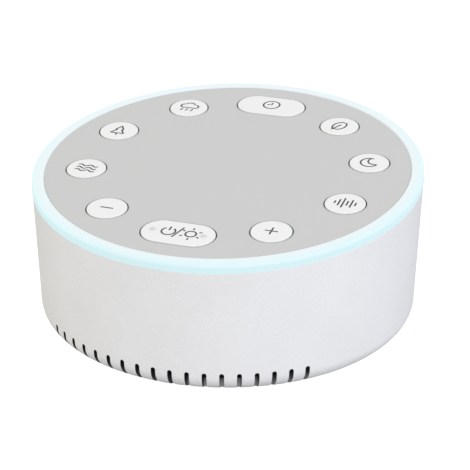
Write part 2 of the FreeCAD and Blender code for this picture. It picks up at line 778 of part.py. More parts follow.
def speaker_basket():
    """The pressed frame: flange with four ears, and a windowed cup up to the magnet."""
    top = SPEAKER_FACE + BASKET_DEPTH
    flange_top = SPEAKER_FACE + SPEAKER_FLANGE
    mouth = SPEAKER_RADIUS - GASKET_WIDTH
    inner = mouth - BASKET_WALL
    outline = [
        (inner, SPEAKER_FACE),
        (SPEAKER_RADIUS, SPEAKER_FACE),
        (SPEAKER_RADIUS, flange_top),
        (mouth, flange_top),
        (MAGNET_RADIUS, top),
        (COIL_RADIUS + COIL_GAP, top),
        (COIL_RADIUS + COIL_GAP, top - BASKET_WALL),
        (MAGNET_RADIUS - BASKET_WALL / 2, top - BASKET_WALL),
        (inner, flange_top - BASKET_WALL / 2),
    ]
    frame = sided_outline(outline, SPEAKER_SIDES)
    clear = sided(mouth, SPEAKER_SIDES, SPEAKER_FACE, flange_top)
    ears = [
        sided(SPEAKER_EAR_RADIUS, POST_SIDES, SPEAKER_FACE, flange_top, place).cut(clear)
        for place in speaker_ear_places()
    ]
    radius = hole_radius(SMALL_SHANK_DIAMETER)
    holes = [
        sided(radius, POST_SIDES, SPEAKER_FACE, flange_top, place)
        for place in speaker_ear_places()
    ]
    low = flange_top + BASKET_WINDOW_EDGE
    high = top - BASKET_WALL - BASKET_WINDOW_EDGE
    window = block(mouth, BASKET_WINDOW_WIDTH, low, high, Vec(mouth, 0, 0))
    windows = [turned(window, index * 360.0 / BASKET_WINDOWS) for index in range(BASKET_WINDOWS)]
    return fused([frame] + ears).cut(holes + windows)


def speaker_magnet():
    """The magnet with its pole piece and the ring gap that the voice coil sits in."""
    bottom = SPEAKER_FACE + BASKET_DEPTH
    top = bottom + MAGNET_HEIGHT
    gap_outer = COIL_RADIUS + COIL_GAP
    gap_top = bottom + COIL_REACH + 2 * COIL_GAP
    outline = [
        (0, bottom),
        (POLE_RADIUS, bottom),
        (POLE_RADIUS, gap_top),
        (gap_outer, gap_top),
        (gap_outer, bottom),
        (MAGNET_RADIUS, bottom),
        (MAGNET_RADIUS, top),
        (0, top),
    ]
    return sided_outline(outline, SPEAKER_SIDES)


def cone_mouth_radius():
    """The cone's outer edge, where the surround takes over."""
    return SPEAKER_RADIUS - GASKET_WIDTH - BASKET_WALL - SURROUND_WIDTH


def speaker_cone():
    """The thin cone and the coil tube that runs up into the magnet's gap."""
    front = SPEAKER_FACE + SPEAKER_FLANGE / 2
    back = front + CONE_DEPTH
    coil_end = SPEAKER_FACE + BASKET_DEPTH + COIL_REACH
    mouth = cone_mouth_radius()
    inner = COIL_RADIUS - COIL_WALL
    outline = [
        (mouth, front),
        (mouth, front + CONE_THICKNESS),
        (COIL_RADIUS, back + CONE_THICKNESS),
        (COIL_RADIUS, coil_end),
        (inner, coil_end),
        (inner, back),
    ]
    return sided_outline(outline, SPEAKER_SIDES)


def speaker_surround():
    """The rubber roll between the cone and the frame, bulging down."""
    level = SPEAKER_FACE + SPEAKER_FLANGE / 2
    start = cone_mouth_radius() + SURROUND_GAP
    end = start + SURROUND_WIDTH - 2 * SURROUND_GAP
    low = level - SURROUND_RISE
    lean = SURROUND_RISE / 2
    outline = [
        (start, level),
        (start + lean, low),
        (end - lean, low),
        (end, level),
        (end - SURROUND_THICKNESS, level),
        (end - lean - SURROUND_THICKNESS, low + SURROUND_THICKNESS),
        (start + lean + SURROUND_THICKNESS, low + SURROUND_THICKNESS),
        (start + SURROUND_THICKNESS, level),
    ]
    return sided_outline(outline, SPEAKER_SIDES)


def speaker_dust_cap():
    """The small cap that closes the cone's middle."""
    level = SPEAKER_FACE + SPEAKER_FLANGE / 2 + CONE_DEPTH
    radius = COIL_RADIUS - COIL_WALL
    low = level - DUST_CAP_RISE
    outline = [
        (0, low),
        (radius / 2, low),
        (radius, level),
        (radius - CONE_THICKNESS, level),
        (radius / 2 - CONE_THICKNESS, low + CONE_THICKNESS),
        (0, low + CONE_THICKNESS),
    ]
    return sided_outline(outline, SPEAKER_SIDES)


def downward_screws(seat, places):
    """Screws with their heads up on a level, down into the cover's posts."""
    length = seat - COVER_TOP - SCREW_END_GAP
    one = screw(SMALL_SHANK_DIAMETER, length, SMALL_HEAD_DIAMETER, SMALL_HEAD_HEIGHT)
    one.rotate(Vec(0, 0, 0), Vec(1, 0, 0), 180)
    return copies_at(one, [place + Vec(0, 0, seat) for place in places])


def speaker_screws():
    """Screws down through the speaker's ears and the baffle into the cover's posts."""
    return downward_screws(SPEAKER_FACE + SPEAKER_FLANGE, speaker_ear_places())


def power_board():
    """The small board at the back that carries the power inlet."""
    inside = INNER_RADIUS - BAFFLE_WALL_GAP
    back = math.sqrt(inside**2 - (POWER_BOARD_WIDTH / 2) ** 2)
    centre = Vec(0, back - POWER_BOARD_LENGTH / 2, 0)
    top = POWER_BOARD_LEVEL + POWER_BOARD_THICKNESS
    board = block(POWER_BOARD_WIDTH, POWER_BOARD_LENGTH, POWER_BOARD_LEVEL, top, centre)
    radius = hole_radius(SMALL_SHANK_DIAMETER)
    holes = [
        sided(radius, POST_SIDES, POWER_BOARD_LEVEL, top, place) for place in power_screw_places()
    ]
    return board.cut(holes)


def power_board_screws():
    """Screws down through the power board and the baffle into the cover's posts."""
    return downward_screws(POWER_BOARD_LEVEL + POWER_BOARD_THICKNESS, power_screw_places())


def power_socket_shell():
    """The inlet's steel shell, open to the back."""
    mouth = back_wall_radius() - SOCKET_INSET
    outer = socket_hole(0.0, mouth - SOCKET_LENGTH, mouth)
    inner = socket_hole(-SOCKET_WALL, mouth - SOCKET_LENGTH + SOCKET_WALL, mouth)
    return outer.cut(inner)


def power_socket_tongue():
    """The flat contact tongue in the middle of the inlet."""
    start = back_wall_radius() - SOCKET_INSET - SOCKET_LENGTH + SOCKET_WALL
    length = SOCKET_LENGTH - SOCKET_WALL - TONGUE_SETBACK
    low = SOCKET_LEVEL - TONGUE_THICKNESS / 2
    middle = Vec(0, start + length / 2, 0)
    return block(TONGUE_WIDTH, length, low, low + TONGUE_THICKNESS, middle)


def all_nodes():
    """Every piece of the machine by name."""
    nodes = {
        "housing_shell": housing_shell(),
        "base_cover": base_cover(),
        "rubber_feet": rubber_feet(),
        "base_screws": base_screws(),
        "top_panel": top_panel(),
        "light_ring": light_ring(),
        "switch_bodies": switch_bodies(),
        "control_board": control_board(),
        "board_screws": board_screws(),
        "case_screws": case_screws(),
        "ring_leds": ring_leds(),
        "sound_chip": chip(SOUND_CHIP, SOUND_CHIP_LEGS, SOUND_CHIP_PLACE),
        "amplifier_chip": chip(AMPLIFIER_CHIP, AMPLIFIER_LEGS, AMPLIFIER_PLACE),
        "capacitors": capacitors(),
        "board_connectors": board_connectors(),
        "speaker_baffle": speaker_baffle(),
        "speaker_gasket": speaker_gasket(),
        "speaker_basket": speaker_basket(),
        "speaker_magnet": speaker_magnet(),
        "speaker_cone": speaker_cone(),
        "speaker_surround": speaker_surround(),
        "speaker_dust_cap": speaker_dust_cap(),
        "speaker_screws": speaker_screws(),
        "power_board": power_board(),
        "power_board_screws": power_board_screws(),
        "power_socket_shell": power_socket_shell(),
        "power_socket_tongue": power_socket_tongue(),
    }
    for index, name in enumerate(KEY_NAMES):
        nodes[name] = key_cap(name, index)
        nodes[name.replace("_key", "_switch_plunger")] = switch_plunger(index)
    return nodes


def main():
    """Build every piece and write one file each."""
    os.makedirs("parts", exist_ok=True)
    for name, shape in all_nodes().items():
        shape.exportStep("parts/" + name + ".step")


main()
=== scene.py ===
"""A white noise sound machine: a low round housing, a sloping deck of keys and a glowing ring."""

import json
import logging
import math
from dataclasses import dataclass
from enum import Enum
from typing import Callable, Iterable, Sequence

import bpy
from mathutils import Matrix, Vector


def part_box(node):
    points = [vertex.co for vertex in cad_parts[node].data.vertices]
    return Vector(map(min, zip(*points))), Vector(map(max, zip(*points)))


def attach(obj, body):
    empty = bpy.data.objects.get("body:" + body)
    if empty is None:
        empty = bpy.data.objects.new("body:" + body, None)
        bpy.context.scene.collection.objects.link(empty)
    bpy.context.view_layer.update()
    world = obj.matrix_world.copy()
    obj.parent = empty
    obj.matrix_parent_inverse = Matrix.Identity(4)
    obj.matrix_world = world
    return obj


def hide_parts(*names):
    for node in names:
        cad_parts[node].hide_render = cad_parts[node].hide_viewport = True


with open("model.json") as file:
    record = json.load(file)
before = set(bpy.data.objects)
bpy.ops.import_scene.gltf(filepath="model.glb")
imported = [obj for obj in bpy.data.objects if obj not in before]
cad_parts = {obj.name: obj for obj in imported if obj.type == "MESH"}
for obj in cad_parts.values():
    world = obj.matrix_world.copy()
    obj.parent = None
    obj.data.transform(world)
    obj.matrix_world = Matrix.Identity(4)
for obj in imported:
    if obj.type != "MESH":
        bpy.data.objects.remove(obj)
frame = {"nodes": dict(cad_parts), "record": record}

LOG = logging.getLogger("sound_machine")
MM = 0.001
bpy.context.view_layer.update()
ROOT_BODY = "machine"

HAIR = 1e-6  # metres; two ends that differ by less lie at one level
LEVEL = 0.95  # the upright part of a normal beyond which its face lies level
WALL_SIDES = 216
COLUMN_CIRCLE = 45.6
COLUMN_ANGLES = (50.0, 130.0, 230.0, 310.0)
SHELF_CIRCLE = 48.5
SHELF_ANGLES = (36.0, 144.0, 216.0, 324.0)

Point = tuple[float, float]
Place = tuple[float, float, float]
Colour = tuple[float, float, float]
Piece = bpy.types.Object
Material = bpy.types.Material


def srgb(red: int, green: int, blue: int) -> Colour:
    """Turn a screen colour of 0 to 255 a channel into the linear values that shaders take.

    Args:
        red: The red channel.
        green: The green channel.
        blue: The blue channel.

    Returns:
        The linear colour.
    """
    def linear(channel: int) -> float:
        """One channel, straightened."""
        share = channel / 255
        return share / 12.92 if share <= 0.04045 else ((share + 0.055) / 1.055) ** 2.4

    return linear(red), linear(green), linear(blue)


def shifted(colour: Colour, factor: float, lift: float = 0.0) -> Colour:
    """A colour times a factor plus a lift, at most 1 a channel."""
    return tuple(min(1.0, channel * factor + lift) for channel in colour)


def metres(x: float, y: float, z: float = 0.0) -> Place:
    """A place in millimetres, turned into metres."""
    return x * MM, y * MM, z * MM


def operator(sign: str, number_first: bool = False) -> "Callable[[Signal, float | Signal], Signal]":
    """Make the method behind an arithmetic sign between signals.

    Args:
        sign: The Math node's operation.
        number_first: Whether the signal is the right one of the two.

    Returns:
        The method.
    """
    def method(own: "Signal", other: "float | Signal") -> "Signal":
        """Add the sign's Math node."""
        return own.compute(sign, *((other, own) if number_first else (own, other)))

    return method


class Signal:
    """A shader socket that takes part in Python arithmetic."""

    __add__ = operator("ADD")
    __radd__ = operator("ADD", True)
    __sub__ = operator("SUBTRACT")
    __rsub__ = operator("SUBTRACT", True)
    __mul__ = operator("MULTIPLY")
    __rmul__ = operator("MULTIPLY", True)
    __pow__ = operator("POWER")

    def __init__(self, tree: bpy.types.NodeTree, socket: bpy.types.NodeSocket) -> None:
        """Hold a socket and the tree that it belongs to."""
        self.tree = tree
        self.socket = socket

    def compute(self, operation: str, *values: "float | Signal") -> "Signal":
        """Add one Math node.

        Args:
            operation: The node's operation.
            values: Its inputs in order, as numbers or signals.

        Returns:
            The node's result.
        """
        node = self.tree.nodes.new("ShaderNodeMath")
        node.operation = operation
        for place, value in enumerate(values):
            if isinstance(value, Signal):
                self.tree.links.new(value.socket, node.inputs[place])
            else:
                node.inputs[place].default_value = value
        return Signal(self.tree, node.outputs[0])

    def step(self, low: float, high: float) -> "Signal":
        """Rise smoothly from 0 to 1 between two values.

        Args:
            low: Where the rise starts.
            high: Where it ends.

        Returns:
            The risen signal.
        """
        node = self.tree.nodes.new("ShaderNodeMapRange")
        node.interpolation_type = "SMOOTHSTEP"
        self.tree.links.new(self.socket, node.inputs["Value"])
        node.inputs["From Min"].default_value = low
        node.inputs["From Max"].default_value = high
        return Signal(self.tree, node.outputs["Result"])


class Surface:
    """One material's node tree, with its main shader ready."""

    def __init__(self, name: str) -> None:
        """Start a material.

        Args:
            name: The material's name.
        """
        self.material = bpy.data.materials.new(name)
        self.material.use_nodes = True
        self.tree = self.material.node_tree
        self.shader = self.tree.nodes["Principled BSDF"]

    def node(
        self,
        kind: str,
        settings: dict[str, object] | None = None,
        inputs: dict[str | int, object] | None = None,
        output: str | int = 0,
    ) -> Signal:
        """Add any node.

        Args:
            kind: The node's type, without the part that all shader nodes share.
            settings: Its own settings, set first.
            inputs: Values or signals for its sockets by name or place.
            output: The output that is wanted.

        Returns:
            That output.
        """
        node = self.tree.nodes.new("ShaderNode" + kind)
        for name, value in (settings or {}).items():
            setattr(node, name, value)
        for name, value in (inputs or {}).items():
            self._feed(node.inputs[name], value)
        return Signal(self.tree, node.outputs[output])

    def _feed(self, socket: bpy.types.NodeSocket, value: object) -> None:
        """Link a signal to a socket, or set a constant on it.

        Args:
            socket: The socket.
            value: A signal, a number, a vector or a colour.
        """
        if isinstance(value, Signal):
            self.tree.links.new(value.socket, socket)
        elif isinstance(value, tuple) and len(value) == 3 and socket.type == "RGBA":
            socket.default_value = (*value, 1.0)
        else:
            socket.default_value = value

    def place(self) -> Signal:
        """The point's place on the object, in metres."""
        return self.node("TexCoord", output="Object")

    def axes(self, place: Signal) -> list[Signal]:
        """The three parts of a place, along X, Y and Z."""
        parts = self.node("SeparateXYZ", inputs={0: place}).socket.node.outputs
        return [Signal(self.tree, part) for part in parts]

    def stretched(self, scale: Place) -> Signal:
        """The point's place, scaled along each axis."""
        return self.node("Mapping", inputs={"Vector": self.place(), "Scale": scale})

    def noise(self, size_mm: float, detail: float = 2.0, where: Signal | None = None) -> Signal:
        """Cloudy variation about 0.5, by its grain's width, its finer layers and the place read."""
        inputs = {"Vector": where or self.place(), "Scale": 1 / (size_mm * MM), "Detail": detail}
        return self.node("TexNoise", inputs=inputs, output="Fac")

    def blend(self, amount: Signal, first: Colour, second: Colour) -> Signal:
        """Mix two colours by a signal."""
        return self.node("Mix", {"data_type": "RGBA"}, {0: amount, 6: first, 7: second}, 2)

    def bump(self, height: Signal, depth_mm: float) -> None:
        """Roughen the surface by a height signal of 0 to 1, where 1 stands for a depth."""
        inputs = {"Height": height, "Distance": depth_mm * MM, "Strength": 1.0}
        self._feed(self.shader.inputs["Normal"], self.node("Bump", inputs=inputs))

    def set(self, **values: object) -> None:
        """Set the main shader's sockets, with underscores for the spaces in their names."""
        for name, value in values.items():
            self._feed(self.shader.inputs[name.replace("_", " ")], value)


@dataclass(frozen=True)
class Finish:
    """A finish: a named material whose look each kind of finish paints in its own way."""

    name: str

    def paint(self, surface: Surface) -> None:
        """Set up a surface's main shader."""
        raise NotImplementedError

    def build(self) -> Material:
        """Make the material.

        Returns:
            The painted material.
        """
        surface = Surface(self.name)
        self.paint(surface)
        return surface.material


@dataclass(frozen=True)
class MouldedPlastic(Finish):
    """Plastic from a textured mould: an even colour with a fine grain.

    Attributes:
        grain: The grain's width and depth in millimetres.
        mottle: How far the colour drifts, as a share.
        cloud_mm: The width of one cloud of that drift.
    """

    colour: Colour
    roughness: float
    grain: Point
    mottle: float = 0.02
    cloud_mm: float = 14.0

    def paint(self, surface: Surface) -> None:
        """Mottle the colour by grain and cloud, and roughen the face by the grain.

        Args:
            surface: The surface to paint.
        """
        grain_mm, depth_mm = self.grain
        grain = surface.noise(grain_mm)
        cloud = surface.noise(self.cloud_mm, 1.0)
        mask = (grain * 0.7 + cloud * 0.3).step(0.3, 0.7)
        dark = shifted(self.colour, 1 - self.mottle)
        light = shifted(self.colour, 1 + self.mottle)
        surface.set(Base_Color=surface.blend(mask, dark, light))
        surface.set(Roughness=cloud * 0.08 + (self.roughness - 0.04))
        surface.bump(grain, depth_mm)


@dataclass(frozen=True)
class GlowingRing(Finish):
    """Milky plastic lit from below: nearly white on its crown and cyan on its outer face.

    Attributes:
        tilt: The deck's slope in radians.
        height: The level of the deck's middle in metres.
        crown: The glow's colour at the inner edge.
        rim: The glow's colour at the outer edge.
        turn: The radii between which the colour turns, in metres.
        face: The levels under the deck between which the outer face takes the rim's colour.
        foot: The levels between which the glow fades to the crown's colour at the seam.
        shares: How much radius, level, lamps and cloud count in the rim's colour.
        lamps: How many lamps light it from below.
        strength: How brightly it glows.
    """

    tilt: float
    height: float
    crown: Colour = (0.45, 0.51, 0.53)
    rim: Colour = (0.38, 0.61, 0.65)
    turn: Point = (56.8 * MM, 60.0 * MM)
    face: Point = (-2.4 * MM, 0.4 * MM)
    foot: Point = (-2.75 * MM, -2.3 * MM)
    shares: tuple[float, float, float, float] = (0.55, 0.35, 0.03, 0.1)
    lamps: int = 20
    strength: float = 1.0

    def paint(self, surface: Surface) -> None:
        """Turn the glow's colour outwards and downwards in the deck's own frame.

        Args:
            surface: The surface to paint.
        """
        level = surface.node(
            "VectorMath", {"operation": "SUBTRACT"}, {0: surface.place(), 1: (0, 0, self.height)}
        )
        turned = surface.node(
            "VectorRotate", {"rotation_type": "X_AXIS"}, {"Vector": level, "Angle": -self.tilt}
        )
        across, along, depth = surface.axes(turned)
        outward = ((across * across + along * along) ** 0.5).step(*self.turn)
        low = 1.0 - depth.step(*self.face)
        angle = across.compute("ARCTAN2", along, across)
        pulse = across.compute("COSINE", angle * float(self.lamps))
        cloud = surface.noise(30.0, 1.0)
        of_radius, of_level, of_lamps, of_cloud = self.shares
        mask = outward * of_radius + low * of_level + pulse * of_lamps + cloud * of_cloud
        mask = mask * depth.step(*self.foot)
        surface.set(
            Base_Color=surface.blend(mask, (0.36, 0.36, 0.36), (0.3, 0.31, 0.31)),
            Emission_Color=surface.blend(mask, self.crown, self.rim),
            Emission_Strength=self.strength,
            Roughness=0.4,
        )


@dataclass(frozen=True)
class SlotShade(Finish):
    """The dark sides of the sound slots, darkest at the top, where no light from the floor comes.

    Attributes:
        low: The colour at the bottom edge.
        high: The colour at the slots' tops.
        levels: The levels in metres where it starts to darken and where it is darkest.
    """

    low: Colour
    high: Colour = srgb(12, 12, 13)
    levels: Point = (3.0 * MM, 7.0 * MM)

    def paint(self, surface: Surface) -> None:
        """Darken the sides by their level, with a little cloud.

        Args:
            surface: The surface to paint.
        """
        level = surface.axes(surface.place())[2]
        cloud = surface.noise(1.5)
        rise = level.step(*self.levels) * 0.9 + cloud * 0.1
        surface.set(Base_Color=surface.blend(rise, self.low, self.high))
        surface.set(Roughness=cloud * 0.1 + 0.6)
        surface.bump(surface.noise(0.4), 0.02)


@dataclass(frozen=True)
class PrintedInk(Finish):
    """Pad-printed ink with slightly uneven cover."""

    colour: Colour

    def paint(self, surface: Surface) -> None:
        """Thin the ink in small patches.

        Args:
            surface: The surface to paint.
        """
        cover = surface.noise(0.5).step(0.35, 0.75)
        worn = shifted(self.colour, 1.25)
        surface.set(Base_Color=surface.blend(cover, self.colour, worn), Roughness=cover * 0.1 + 0.5)
        surface.bump(cover, 0.004)


@dataclass(frozen=True)
class SoftRubber(Finish):
    """Matte rubber with a fine dusty grain."""

    colour: Colour

    def paint(self, surface: Surface) -> None:
        """Dust the rubber paler in patches, over a fine grain.

        Args:
            surface: The surface to paint.
        """
        dust = surface.noise(1.2, 3.0)
        pale = shifted(self.colour, 1.6, 0.01)
        surface.set(Base_Color=surface.blend(dust.step(0.4, 0.8), self.colour, pale))
        surface.set(Roughness=dust * 0.15 + 0.75)
        surface.bump(surface.noise(0.25), 0.015)


@dataclass(frozen=True)
class PlatedSteel(Finish):
    """Zinc or nickel plated metal with faint brush marks."""

    colour: Colour
    roughness: float = 0.35

    def paint(self, surface: Surface) -> None:
        """Draw level brush marks.

        Args:
            surface: The surface to paint.
        """
        marks = surface.noise(1.6, 3.0, surface.stretched((1.0, 1.0, 12.0)))
        dull = shifted(self.colour, 0.8)
        surface.set(Base_Color=surface.blend(marks.step(0.35, 0.7), self.colour, dull))
        surface.set(Metallic=1.0, Roughness=marks * 0.2 + (self.roughness - 0.1))
        surface.bump(marks, 0.004)


@dataclass(frozen=True)
class BoardLaminate(Finish):
    """Green lacquered laminate with the faint weave of its glass cloth."""

    colour: Colour
    weave_mm: float = 5.0

    def paint(self, surface: Surface) -> None:
        """Cross two bands of waves for the cloth, under a clear coat.

        Args:
            surface: The surface to paint.
        """
        warp, weft = (
            surface.node(
                "TexWave",
                {"bands_direction": direction},
                {"Vector": surface.place(), "Scale": 1 / (self.weave_mm * MM), "Distortion": 0.6},
                "Fac",
            )
            for direction in ("X", "Y")
        )
        cloth = warp * weft
        light = shifted(self.colour, 1.5)
        surface.set(Base_Color=surface.blend(cloth, self.colour, light))
        surface.set(Coat_Weight=cloth * 0.2 + 0.3, Roughness=cloth * 0.1 + 0.35)
        surface.bump(cloth, 0.01)


@dataclass(frozen=True)
class PressedPaper(Finish):
    """The fibrous dark paper of a speaker cone."""

    colour: Colour

    def paint(self, surface: Surface) -> None:
        """Draw pale fibres and a rough face.

        Args:
            surface: The surface to paint.
        """
        fibre = surface.noise(0.8, 4.0, surface.stretched((3.0, 1.0, 1.0)))
        pale = shifted(self.colour, 1.8)
        surface.set(Base_Color=surface.blend(fibre.step(0.35, 0.75), self.colour, pale))
        surface.set(Roughness=fibre * 0.15 + 0.8)
        surface.bump(fibre, 0.03)


@dataclass(frozen=True)
class StudioFloor(Finish):
    """The plain floor: pure white to the camera, and pale to the light that it throws back."""

    name: str = "studio_floor"

    def paint(self, surface: Surface) -> None:
        """Glow white for the camera alone, over a nearly even pale grey.

        Args:
            surface: The surface to paint.
        """
        tone = surface.noise(400.0, 1.0)
        seen = surface.node("LightPath", output="Is Camera Ray")
        surface.set(
            Base_Color=surface.blend(tone, (0.4, 0.4, 0.4), (0.44, 0.44, 0.44)),
            Emission_Color=surface.blend(seen, (0.0, 0.0, 0.0), (1.0, 1.0, 1.0)),
            Emission_Strength=1.0,
            Roughness=0.9,
        )


class Pick(Enum):
    """The parts of a mesh that a selection is made of."""

    POINTS = "VERT"
    EDGES = "EDGE"


class Merge(Enum):
    """The two ways in which a tool changes a piece."""

    CUT = "DIFFERENCE"
    UNITE = "UNION"


@dataclass(frozen=True)
class Post:
    """A round screw post and its pilot hole, in millimetres.

    Attributes:
        bore: The pilot hole's radius.
        levels: The post's bottom and top, as bore_levels are the hole's.
    """

    radius: float
    bore: float
    levels: Point
    bore_levels: Point


class Bench:
    """Modelling by hand with Blender's operators, one selection at a time."""

    @staticmethod
    def clear() -> None:
        """Leave edit mode and deselect everything."""
        if bpy.context.object is not None and bpy.context.object.mode != "OBJECT":
            bpy.ops.object.mode_set(mode="OBJECT")
        bpy.ops.object.select_all(action="DESELECT")

    @classmethod
    def hold(cls, *pieces: Piece) -> None:
        """Select pieces only.

        Args:
            pieces: The pieces, with the active one first.
        """
        cls.clear()
        for piece in pieces:
            piece.select_set(True)
        bpy.context.view_layer.objects.active = pieces[0]

    @classmethod
    def pick(cls, piece: Piece, kind: Pick, test: Callable[..., bool]) -> None:
        """Select what passes a test, and stay in edit mode.

        Args:
            piece: The piece.
            kind: Whether points or edges are selected.
            test: Says whether a point's place, or the places of an edge's two ends, will do.
        """
        cls.hold(piece)
        bpy.ops.object.mode_set(mode="EDIT")
        bpy.ops.mesh.select_mode(type=kind.value)
        bpy.ops.mesh.select_all(action="DESELECT")
        bpy.ops.object.mode_set(mode="OBJECT")
        points = piece.data.vertices
        if kind is Pick.POINTS:
            for point in points:
                point.select = test(point.co)
        else:
            for edge in piece.data.edges:
                edge.select = test(*(points[end].co for end in edge.vertices))
        bpy.ops.object.mode_set(mode="EDIT")

    @classmethod
    def turned(
        cls, name: str, profile: Sequence[Point], sides: int, closed: bool = False
    ) -> Piece:
        """Draw a ring out through a profile, as on a lathe.

        Args:
            name: The piece's name.
            profile: Radius and level pairs in millimetres.
            sides: How many sides the ring has.
            closed: Whether the profile comes back to its start.

        Returns:
            The new piece, with both ends filled where it isn't closed.
        """
        cls.clear()
        radius, level = profile[0]
        bpy.ops.mesh.primitive_circle_add(vertices=sides, radius=radius * MM, fill_type="NOTHING")
        piece = bpy.context.object
        piece.name = name
        bpy.ops.object.mode_set(mode="EDIT")
        bpy.ops.mesh.select_all(action="SELECT")
        bpy.ops.transform.translate(value=(0, 0, level * MM))
        extrude = bpy.ops.mesh.extrude_edges_move if closed else bpy.ops.mesh.extrude_region_move
        if not closed:
            bpy.ops.mesh.edge_face_add()
        for next_radius, next_level in list(profile[1:]) + ([profile[0]] if closed else []):
            extrude(TRANSFORM_OT_translate={"value": (0, 0, (next_level - level) * MM)})
            grow = next_radius / radius
            if abs(grow - 1) > 1e-9:
                middle = (0, 0, next_level * MM)
                bpy.ops.transform.resize(value=(grow, grow, 1), center_override=middle)
            radius, level = next_radius, next_level
        bpy.ops.mesh.select_all(action="SELECT")
        bpy.ops.mesh.remove_doubles(threshold=0.001 * MM)
        bpy.ops.mesh.normals_make_consistent(inside=False)
        bpy.ops.object.mode_set(mode="OBJECT")
        return piece

    @classmethod
    def pill(cls, name: str, length: float, profile: Sequence[Point], sides: int) -> Piece:
        """Turn a solid and pull its two halves apart along X, as for an oval key.

        Args:
            name: The piece's name.
            length: The whole length in millimetres, from end to end of the widest level.
            profile: Radius and level pairs in millimetres.
            sides: How many sides the ring has, an even number.

        Returns:
            The new piece.
        """
        piece = cls.turned(name, profile, sides)
        reach = length / 2 - max(radius for radius, level in profile)
        if reach > 1e-6:
            cls.settle(piece, turn=(0, 0, math.pi / sides))
            for side in (-1, 1):
                cls.pick(piece, Pick.POINTS, lambda p, side=side: p.x * side > 0)
                bpy.ops.transform.translate(value=(side * reach * MM, 0, 0))
            bpy.ops.object.mode_set(mode="OBJECT")
        return piece

    @classmethod
    def block(cls, name: str, size: Sequence[float], centre: Sequence[float]) -> Piece:
        """Add a box.

        Args:
            name: The piece's name.
            size: Its length, width and height in millimetres.
            centre: Its middle in millimetres.

        Returns:
            The new piece.
        """
        cls.clear()
        place = Vector(centre) * MM
        bpy.ops.mesh.primitive_cube_add(size=1, location=place, scale=Vector(size) * MM)
        piece = bpy.context.object
        piece.name = name
        return cls.settle(piece)

    @classmethod
    def rods(cls, name: str, radius: float, levels: Point, places: Iterable[Point]) -> Piece:
        """Add upright round rods, joined into one piece.

        Args:
            name: The piece's name.
            radius: Their radius in millimetres.
            levels: Their bottom and top in millimetres.
            places: Their middles in millimetres.

        Returns:
            The new piece.
        """
        profile = [(radius, level) for level in levels]
        return cls.join(
            [cls.settle(cls.turned(name, profile, 32), metres(*place)) for place in places]
        )

    @classmethod
    def add_posts(cls, piece: Piece, post: Post, places: Sequence[Point]) -> None:
        """Grow screw posts on a piece and bore them.

        Args:
            piece: The piece, with its material.
            post: The posts' sizes.
            places: The posts' middles.
        """
        posts = cls.rods("posts", post.radius, post.levels, places)
        cls.unite(piece, posts)
        cls.combine(piece, cls.rods("post_bores", post.bore, post.bore_levels, places))

    @classmethod
    def bevel(cls, piece: Piece, test: Callable[..., bool], width: float, steps: int) -> None:
        """Round the edges whose two ends pass a test.

        Args:
            piece: The piece to round.
            test: Says of an edge's two ends whether it is rounded.
            width: The rounding in millimetres.
            steps: Its number of faces.
        """
        cls.pick(piece, Pick.EDGES, test)
        bpy.ops.mesh.bevel(offset=width * MM, segments=steps, affect="EDGES")
        bpy.ops.object.mode_set(mode="OBJECT")

    @classmethod
    def settle(
        cls, piece: Piece, place: Place | Vector | None = None, turn: Place | None = None
    ) -> Piece:
        """Put a piece's place, turn and scale into its mesh.

        Args:
            piece: The piece.
            place: A new place in metres, if it moves first.
            turn: A new turn in radians about X, Y and Z, if it turns first.

        Returns:
            The same piece.
        """
        if place is not None:
            piece.location = place
        if turn is not None:
            piece.rotation_euler = turn
        cls.hold(piece)
        bpy.ops.object.transform_apply(location=True, rotation=True, scale=True)
        return piece

    @classmethod
    def array(cls, piece: Piece, angles: Iterable[float]) -> Piece:
        """Copy a piece to angles about the upright axis, and join the copies.

        Args:
            piece: The piece at angle 0, which is used up.
            angles: The angles in degrees.

        Returns:
            The joined copies.
        """
        copies = []
        for angle in angles:
            cls.hold(piece)
            bpy.ops.object.duplicate(linked=False)
            copies.append(cls.settle(bpy.context.object, turn=(0, 0, math.radians(angle))))
        bpy.data.objects.remove(piece)
        return cls.join(copies)

    @classmethod
    def join(cls, pieces: Sequence[Piece]) -> Piece:
        """Join pieces into the first one.

        Args:
            pieces: The pieces.

        Returns:
            The first one.
        """
        cls.hold(*pieces)
        if len(pieces) > 1:
            bpy.ops.object.join()
        return pieces[0]

    @classmethod
    def combine(cls, piece: Piece, tool: Piece, merge: Merge = Merge.CUT) -> None:
        """Cut a piece with a tool, or join the tool to it. The tool is used up.

        Args:
            piece: The piece.
            tool: The tool.
            merge: Whether the tool cuts or is joined.
        """
        modifier = piece.modifiers.new("combine", "BOOLEAN")
        modifier.operation = merge.value
        modifier.solver = "EXACT"
        modifier.material_mode = "TRANSFER" if merge is Merge.UNITE else "INDEX"
        modifier.object = tool
        cls.hold(piece)
        bpy.ops.object.modifier_apply(modifier=modifier.name)
        bpy.data.objects.remove(tool)

    @classmethod
    def unite(cls, piece: Piece, part: Piece) -> None:
        """Join a part of the same material to a piece."""
        dress(part, piece.data.materials[0])
        cls.combine(piece, part, Merge.UNITE)

    @classmethod
    def smooth(cls, piece: Piece, angle: float = 30.0) -> None:
        """Shade a piece smooth except over edges sharper than an angle."""
        cls.hold(piece)
        bpy.ops.object.shade_smooth_by_angle(angle=math.radians(angle))


def dress(piece: Piece, material: Material) -> None:
    """Give a piece one material."""
    piece.data.materials.clear()
    piece.data.materials.append(material)


